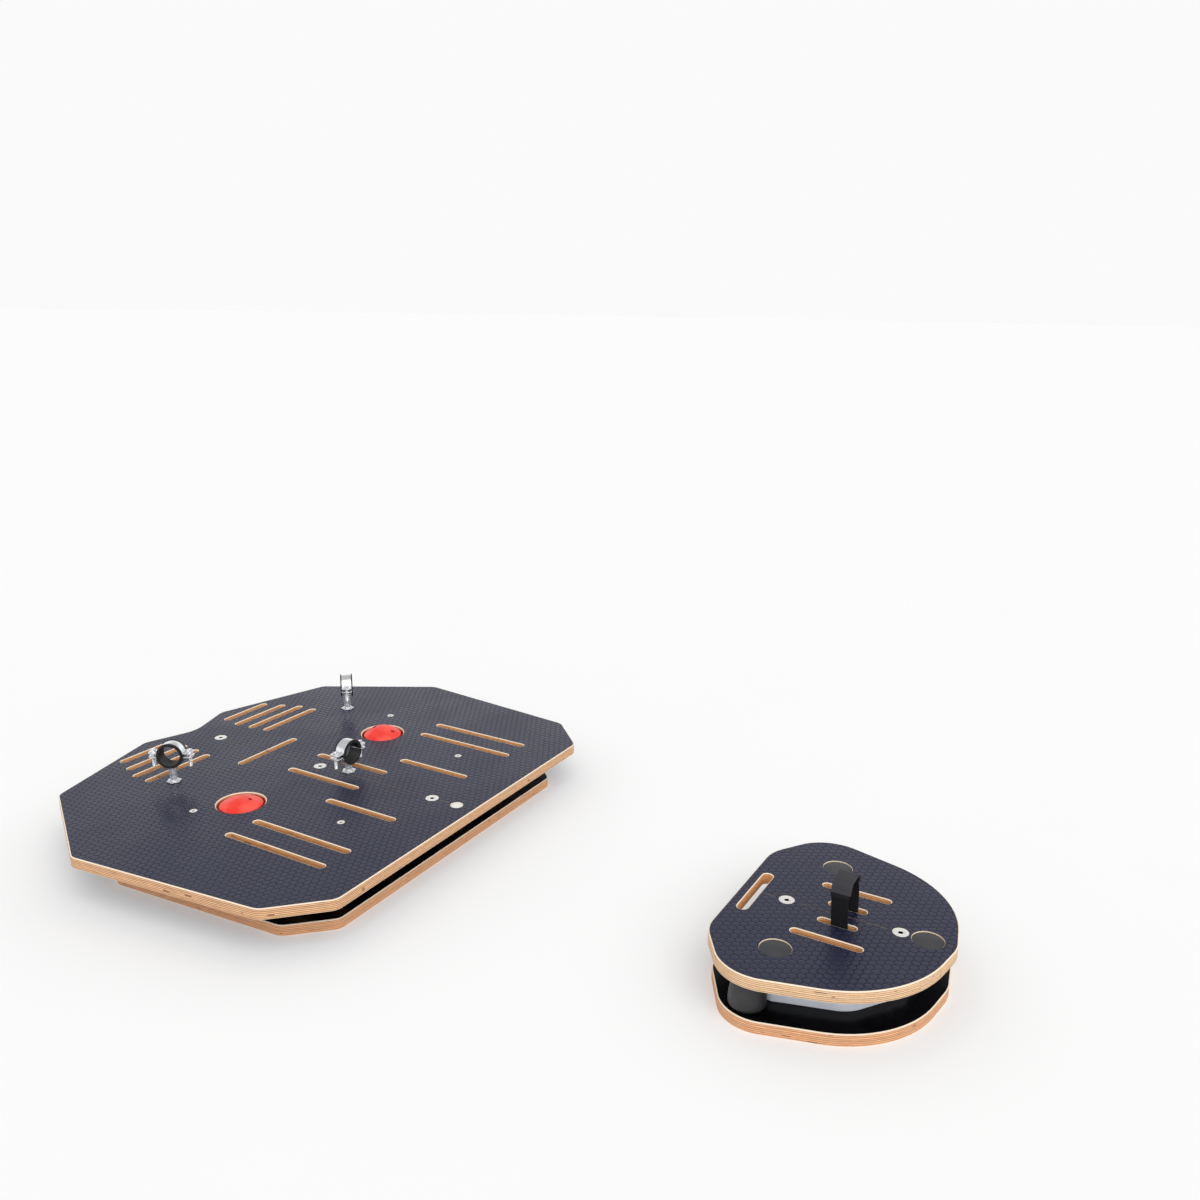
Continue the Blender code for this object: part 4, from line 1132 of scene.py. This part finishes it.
def lining_mesh(height):
    """Rubber lining: a split sleeve whose lips wrap the band's edges, ribbed inside."""
    outer = TUBE_RADIUS + LINING
    lip = outer + BAND + 0.0014
    section = [(-LINING_HALF + 0.0005, TUBE_RADIUS)]
    for k in range(1, 8):
        across = -LINING_HALF + 2 * LINING_HALF * k / 8
        section.append((across - 0.0006, TUBE_RADIUS + 0.0001))
        section.append((across, TUBE_RADIUS + 0.0006))
        section.append((across + 0.0006, TUBE_RADIUS + 0.0001))
    section += [(LINING_HALF - 0.0005, TUBE_RADIUS), (LINING_HALF, TUBE_RADIUS + 0.0005),
                (LINING_HALF, lip - 0.0005), (LINING_HALF - 0.0005, lip), (BAND_HALF + 0.0005, lip),
                (BAND_HALF + 0.0003, lip - 0.0003), (BAND_HALF + 0.0003, outer),
                (-BAND_HALF - 0.0003, outer), (-BAND_HALF - 0.0003, lip - 0.0003),
                (-BAND_HALF - 0.0005, lip), (-LINING_HALF + 0.0005, lip), (-LINING_HALF, lip - 0.0005),
                (-LINING_HALF, TUBE_RADIUS + 0.0005)]
    slit = math.radians(3.0)
    count = 72
    rows = []
    for k in range(count + 1):
        turn = slit + (2 * math.pi - 2 * slit) * k / count
        rows.append([(across, reach * math.cos(turn), height + reach * math.sin(turn))
                     for across, reach in section])
    shape = bmesh.new()
    loft(shape, rows)
    return shape


def ear_screw(shape, y, seat_height, length):
    """Clamp screw with a hexagon head dished in the middle and a washer face, and its thread hanging below.
    """
    crown = chamfered_hexagon(0.0086, 0.0049)
    profile = ((0.0, 0.0026), (0.0012, 0.0026), (0.0022, 0.0040), (0.0036, 0.0040),
               (chamfered_hexagon(0.0086, 0.0043), 0.0038), (crown, 0.0032), (crown, 0.0010),
               (0.0050, 0.0008), (0.0050, 0.0), (0.0031, 0.0))
    head = [ring(radius, seat_height + height, HEX_FINE) for radius, height in profile]
    rod = thread(0.0030, 0.0005, 0.0010, seat_height - length, seat_height + 0.0002)
    for loops in (head, rod):
        loft(shape, [[(px, py + y, pz) for px, py, pz in loop] for loop in loops])


def nut_loops(flats, corner, low, high):
    """Loops of a hexagon nut with both faces chamfered."""
    small = corner * 0.90
    step = (corner - small) * 0.6
    profile = ((small, high), (corner * 0.97, high - step * 0.6), (corner, high - step),
               (corner, low + step), (corner * 0.97, low + step * 0.6), (small, low))
    return [ring(chamfered_hexagon(flats, limit), height, HEX_FINE) for limit, height in profile]


def clamp(number):
    """A lined tube clamp on its stud, finer than its nodes."""
    prefix = "clamp_%d_" % number
    body = "clamp_%d" % number
    heading = math.radians(CLAMP_HEADINGS[number])
    x, y, _, _ = middle(prefix + "stud")
    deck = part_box(prefix + "flange_nut")[0][2] - FIT
    low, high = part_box(prefix + "lining")
    height = (low[2] + high[2]) / 2 - deck
    place = at(x, y, deck, heading)

    def add(name, shape, rider, node, look=zinc, slot="zinc_plated_steel"):
        """Adds one piece of this clamp in place of its node."""
        piece(prefix + name, shape, (look,), slot, rider, [prefix + node], place)

    for half, side in (("upper", 1), ("lower", -1)):
        shape = band_mesh(side, height)
        if side < 0:
            boss_top = height - TUBE_RADIUS - LINING - FIT - BAND + 0.0008
            loft(shape, nut_loops(*BOSS, BOSS_LOW, boss_top))
        add(half + "_band", shape, body, half + "_half")
    add("rubber", lining_mesh(height), body, "lining", lining_rubber, "rubber")
    seat_height = height + EAR_GAP / 2 + BAND + FIT
    for end, side in (("a", -1), ("b", 1)):
        shape = bmesh.new()
        ear_screw(shape, side * EAR_SCREW[0], seat_height, EAR_SCREW[1])
        add("ear_screw_" + end, shape, body, "screw_" + end)
    shape = bmesh.new()
    loft(shape, thread(*STUD, STUD_FOOT, BOSS_LOW + STUD_IN_BOSS))
    flats, corner, thick = LOCK_NUT
    loft(shape, nut_loops(flats, corner, BOSS_LOW - FIT - thick, BOSS_LOW - FIT))
    add("threaded_stud", shape, "rear_top", "stud")
    shape = bmesh.new()
    loft(shape, hand_nut_loops(), 0, (False, False))
    bmesh.ops.remove_doubles(shape, verts=shape.verts, dist=1e-7)
    add("hand_nut", shape, "rear_top", "flange_nut")


def hand_nut_loops():
    """Loops of a low lobed nut, turned by hand, round a bore."""
    def lobed(reach, depth):
        return lambda turn: reach - depth * (0.5 - 0.5 * math.cos(6 * turn)) ** 1.5

    bore, top = 0.0043, 0.0060
    profile = ((bore, top), (0.0062, top), (0.0068, 0.0056), (0.0072, 0.0036),
               (lobed(0.0088, 0.0006), 0.0033), (lobed(0.0115, 0.0020), 0.0031),
               (lobed(0.0123, 0.0023), 0.0026), (lobed(0.0125, 0.0024), 0.0018),
               (lobed(0.0123, 0.0023), 0.0008), (lobed(0.0117, 0.0020), FIT), (bore, FIT), (bore, top))
    return [ring(radius, height, ROUND) for radius, height in profile]


def inlays():
    """Smooth round pads sunk in the front board."""
    for name in PAD_PLACES:
        node = "inlay_pad_" + name
        x, y, low, high, radius = round_node(node)
        thickness = high - low
        profile = [(0.0, thickness), (radius - 0.0008, thickness), (radius, thickness - 0.0008),
                   (radius, 0.0), (0.0, 0.0)]
        turned(node + "_fine", profile, 0.0005, pad, "dark_plastic", "front_top", [node], at(x, y, low),
               ROUND)


def bumpers():
    """Tapered rubber bumpers between the front boards, rounded at the foot."""
    for name in ("near", "far"):
        node = "bumper_" + name
        x, y, low, high, foot = round_node(node)
        height = high - low
        profile = [(0.0, height), (BUMPER_TOP - 0.002, height), (BUMPER_TOP, height - 0.002)]
        for k in range(1, BUMPER_STEPS + 1):
            share = k / BUMPER_STEPS
            profile.append((BUMPER_TOP + (foot - BUMPER_TOP) * math.sin(share * math.pi / 2),
                            height - 0.002 + (0.0080 - height) * share))
        profile += [(foot - 0.0003, 0.0042), (foot - 0.0014, 0.0020), (foot - 0.0032, 0.0005),
                    (foot - 0.0050, 0.0), (0.0, 0.0)]
        made = turned(node + "_fine", profile, 0.0008, grey_rubber, "rubber", None, [node], at(x, y, low),
                      ROUND, 2)
        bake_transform(made)


def strap_line(offset):
    """Closed line of the strap loop, (y, z) from the rear edge of the foot, drawn in by an offset."""
    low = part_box("wheel_strap")[0][2]
    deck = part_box("front_top_board")[1][2]
    half, bend = STRAP_FOOT
    line = [(half, low, bend)] + [(y, deck + height, radius) for y, height, radius in STRAP_BENDS]
    return rounded(inset(line + [(-half, low, bend)], offset))


def ribbon(shape, line, half, thick, closed, drift=(0.0, 0.0)):
    """Strip of webbing along a line in the y-z plane, with u and v in metres.

    Its middle drifts sideways, by the first value at its start and the second at its end.
    """
    uv = shape.loops.layers.uv.verify()
    points = [Vector(point) for point in line]
    count = len(points)
    rows, runs = [], []
    travelled = 0.0
    for index, point in enumerate(points):
        before = points[index - 1] if closed or index else point
        after = points[(index + 1) % count] if closed or index < count - 1 else point
        along = (after - before).normalized()
        normal = Vector((-along.y, along.x))
        if index:
            travelled += (point - points[index - 1]).length
        runs.append(travelled)
        row = []
        share = index / (count - 1)
        middle_x = STRAP_X + drift[0] * (1 - share) + drift[1] * share
        for across, out in strip_section(half, thick / 2):
            place = point + normal * out
            row.append(shape.verts.new((middle_x + across, place.x, place.y)))
        rows.append(row)
    total = travelled + (points[0] - points[-1]).length
    pairs = list(zip(range(count - 1), range(1, count)))
    if closed:
        pairs.append((count - 1, 0))
    for first, second in pairs:
        size = len(rows[first])
        ahead = runs[second] if second else total
        for k in range(size):
            step = (k + 1) % size
            face = shape.faces.new((rows[first][k], rows[first][step], rows[second][step], rows[second][k]))
            for loop, along in zip(face.loops, (runs[first], runs[first], ahead, ahead)):
                loop[uv].uv = (loop.vert.co.x - STRAP_X, along)
    if not closed:
        for row in (rows[0], rows[-1]):
            shape.faces.new(row)


def run_of(line, start, end):
    """Evenly spaced points along a line, from one length along it to another."""
    points = [Vector(point) for point in line]
    gaps = [(after - here).length for here, after in zip(points, points[1:])]
    made = []
    count = max(3, round((end - start) / STRAP_STEP))
    for k in range(count + 1):
        left = start + (end - start) * k / count
        index = 0
        while index < len(gaps) - 1 and left > gaps[index]:
            left -= gaps[index]
            index += 1
        made.append(points[index].lerp(points[index + 1], left / gaps[index]))
    return made


def part_over(line, height):
    """The part of a line over a height, cut exactly where the line crosses it."""
    made = []
    for here, after in zip(line, line[1:]):
        if here[1] > height:
            made.append(here)
        if (here[1] > height) != (after[1] > height):
            share = (height - here[1]) / (after[1] - here[1])
            made.append((here[0] + (after[0] - here[0]) * share, height))
    return made


def strap():
    """Loop of webbing through the two short slots, with a wider lap folded over its top."""
    shape = bmesh.new()
    whole = strap_line(STRAP_LAYERS[0])
    ribbon(shape, whole, STRAP_HALF - 0.0004, 0.0020, True)
    piece("wheel_strap_inner", shape, (strap_dark,), "webbing", "front_top", ["wheel_strap"])
    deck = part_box("front_top_board")[1][2]
    outer = strap_line(STRAP_LAYERS[1])
    near_side = [k for k, (y, _) in enumerate(outer) if y < 0]
    start = min(near_side, key=lambda k: abs(outer[k][1] - deck - STRAP_START))
    upward = list(reversed(outer[start:] + outer[:start]))
    lap = part_over(upward, deck + STRAP_HEM)
    total = sum((Vector(b) - Vector(a)).length for a, b in zip(lap, lap[1:]))
    shape = bmesh.new()
    ribbon(shape, run_of(lap, 0.0, total), STRAP_LAP_HALF, 0.0016, False, STRAP_DRIFT)
    hem = run_of(lap, 0.0, STRAP_HEM_LENGTH)
    out = Vector((-STRAP_HEM_OUT, 0.0))
    ribbon(shape, [point + out for point in hem], STRAP_LAP_HALF - 0.0003, 0.0018, False,
           (STRAP_DRIFT[0], STRAP_DRIFT[0]))
    piece("wheel_strap_outer", shape, (strap_light,), "webbing", "front_top")
    shape = bmesh.new()
    below = [point for point in upward if point[0] < 0 and point[1] > deck + STRAP_FOLD[0]]
    ribbon(shape, run_of(below, 0.0, STRAP_FOLD[1]), STRAP_HALF + 0.0002, 0.0022, False)
    piece("wheel_strap_fold", shape, (strap_dark,), "webbing", "front_top")


def dress_nodes():
    """Black nylon on the solids that stay, the pivot blocks and the axle saddles."""
    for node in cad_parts.values():
        if node.hide_render:
            continue
        if not node.material_slots:
            node.data.materials.append(nylon)
        for material_slot in node.material_slots:
            material_slot.material = nylon


def add_camera():
    """Camera at the photograph's place and angle."""
    data = bpy.data.cameras.new("view")
    camera = bpy.data.objects.new("view", data)
    bpy.context.scene.collection.objects.link(camera)
    bpy.context.scene.camera = camera
    data.sensor_width = SENSOR
    data.sensor_fit = "HORIZONTAL"
    data.lens = FOCAL_PIXELS / IMAGE_SIZE * SENSOR
    data.clip_start = 0.05
    data.clip_end = 500.0
    ahead = Vector((-math.sin(CAMERA_YAW) * math.cos(CAMERA_PITCH),
                    math.cos(CAMERA_YAW) * math.cos(CAMERA_PITCH), -math.sin(CAMERA_PITCH)))
    right = Vector((math.cos(CAMERA_YAW), math.sin(CAMERA_YAW), 0.0))
    up = right.cross(ahead)
    side = math.cos(CAMERA_ROLL) * right + math.sin(CAMERA_ROLL) * up
    head = -math.sin(CAMERA_ROLL) * right + math.cos(CAMERA_ROLL) * up
    turn = Matrix((side, head, -ahead)).transposed().to_4x4()
    camera.matrix_world = Matrix.Translation(CAMERA_PLACE) @ turn


def add_light():
    """Pale room light and the soft sun; rays from the camera see an even backdrop."""
    world = bpy.data.worlds.new("studio")
    bpy.context.scene.world = world
    world.use_nodes = True
    sky = Nodes(world.node_tree)
    sky.tree.nodes.clear()
    _, _, rise = sky.split(sky.add("ShaderNodeTexCoord", output="Generated"))
    low, high = WALLS_END
    light = sky.ease(rise, low, high, AMBIENT, AMBIENT * CEILING)
    mirrored_sky = sky.ease(rise, low, high, BACKDROP, BACKDROP * CEILING_SEEN)
    strength = sky.add("ShaderNodeMix", {0: sky.seen("Glossy"), 2: light, 3: mirrored_sky})
    strength = sky.add("ShaderNodeMix", {0: sky.seen("Camera", "Transmission"), 2: strength, 3: BACKDROP})
    glow = sky.add("ShaderNodeBackground", {"Color": (1.0, 1.0, 1.0), "Strength": strength})
    sky.add("ShaderNodeOutputWorld", {"Surface": glow}, None)
    data = bpy.data.lights.new("sun", "SUN")
    data.energy = SUN_STRENGTH
    data.angle = SUN_WIDTH
    sun = bpy.data.objects.new("sun", data)
    sun.rotation_euler = (SUN_TILT[0], SUN_TILT[1], 0.0)
    bpy.context.scene.collection.objects.link(sun)


def add_floor():
    """Pale floor; part of its tone is its own where it is seen, so that its shadows stay soft."""
    look = Look("studio_floor")
    cloud = look.noise(look.place(), 3.0, 2.0)
    tint = look.mix(look.ease(cloud, 0.3, 0.7), (FLOOR_TONE,) * 3, (FLOOR_TONE - 0.004,) * 3)
    material = look.done(tint, 0.9, Specular_IOR_Level=0.0)
    glow = look.add("ShaderNodeEmission", {"Color": (1.0, 1.0, 1.0), "Strength": BACKDROP})
    share = look.math("MULTIPLY", look.seen("Camera", "Glossy", "Transmission"), FLOOR_GLOW)
    shown = look.add("ShaderNodeMixShader", {0: share, 1: look.shader.outputs[0], 2: glow})
    look.put(look.tree.nodes["Material Output"].inputs["Surface"], shown)
    shape = bmesh.new()
    shape.faces.new([shape.verts.new(point) for point in ring(FLOOR_RADIUS, 0.0, FLOOR_STEPS)])
    mesh = bpy.data.meshes.new("floor")
    shape.to_mesh(mesh)
    shape.free()
    mesh.materials.append(material)
    floor = bpy.data.objects.new("floor", mesh)
    bpy.context.scene.collection.objects.link(floor)


bpy.context.scene.view_settings.view_transform = "Standard"
film_rear = film_look("film_rear", False)
film_front = film_look("film_front", True)
film_gloss = gloss_look("film_smooth", (0.0022, 0.0022, 0.0028), (0.0040, 0.0040, 0.0050))
ply_rear = ply_look("plywood_rear", (0.94, 0.600, 0.345), (0.54, 0.245, 0.105), 3.0)
ply_front = ply_look("plywood_front", (0.97, 0.700, 0.440), (0.70, 0.390, 0.200), 11.0)
# Slot walls: the same birch painted deeper orange, standing in for the shade and warm bounce light inside
# the narrow slots
ply_slot_shaded = ply_look("plywood_slot_shaded", (0.98, 0.56, 0.26), (0.72, 0.33, 0.12), 8.0)
ply_base = ply_look("plywood_base", (0.97, 0.560, 0.310), (0.70, 0.310, 0.140), 6.0)
turned_steel = turned_metal_look("turned_steel", (0.96, 0.95, 0.93), 0.30, 0.35)
bar_steel = turned_metal_look("bar_steel", (0.66, 0.66, 0.65), 0.22)
zinc = zinc_look("bright_zinc")
nylon = moulded_look("black_nylon_block", (0.012, 0.012, 0.013), (0.022, 0.022, 0.023),
                     0.45, 0.0008, 0.00004)
black_rubber = moulded_look("black_rubber", (0.012, 0.012, 0.012), (0.026, 0.026, 0.027),
                            0.60, 0.0007, 0.00005)
grey_rubber = moulded_look("bumper_rubber", (0.016, 0.016, 0.018), (0.030, 0.030, 0.034),
                           0.50, 0.0009, 0.00005)
lining_rubber = moulded_look("lining_rubber", (0.010, 0.010, 0.010), (0.022, 0.022, 0.022),
                             0.48, 0.0006, 0.00004)
groove_wood = moulded_look("groove_wood", (0.15, 0.10, 0.07), (0.26, 0.18, 0.12), 0.70, 0.0010, 0.00002)
# Near-black paint: painted shade inside the screw sockets, and the own colour of the balls' dark plugs
socket_shade_and_plug = moulded_look("socket_shade_and_plug", (0.003, 0.003, 0.003), (0.008, 0.007, 0.006),
                           0.75, 0.0004, 0.00002, Specular_IOR_Level=0.15)
red = ball_look()
cream = moulded_look("level_plastic", (0.84, 0.81, 0.73), (0.78, 0.75, 0.68), 0.38, 0.0006, 0.00002)
liquid = moulded_look("level_back", (0.98, 0.93, 0.86), (0.95, 0.89, 0.80), 0.40, 0.0006, 0.00001)
lens_clear = lens_look()
foam = foam_look()
pad = moulded_look("pad_plastic", (0.030, 0.031, 0.036), (0.048, 0.049, 0.056), 0.34, 0.0012, 0.00003)
strap_dark = webbing_look("strap_dark", (0.003, 0.003, 0.004), (0.014, 0.014, 0.017))
strap_light = webbing_look("strap_light", (0.018, 0.018, 0.022), (0.075, 0.075, 0.086))

add_camera()
add_light()
add_floor()
rear_boards()
front_boards()
slab()
for name, (contact, plugs) in BALLS.items():
    ball(name, contact, plugs)
buffers()
fasteners()
axles()
level()
for number in CLAMP_HEADINGS:
    clamp(number)
inlays()
bumpers()
strap()
dress_nodes()
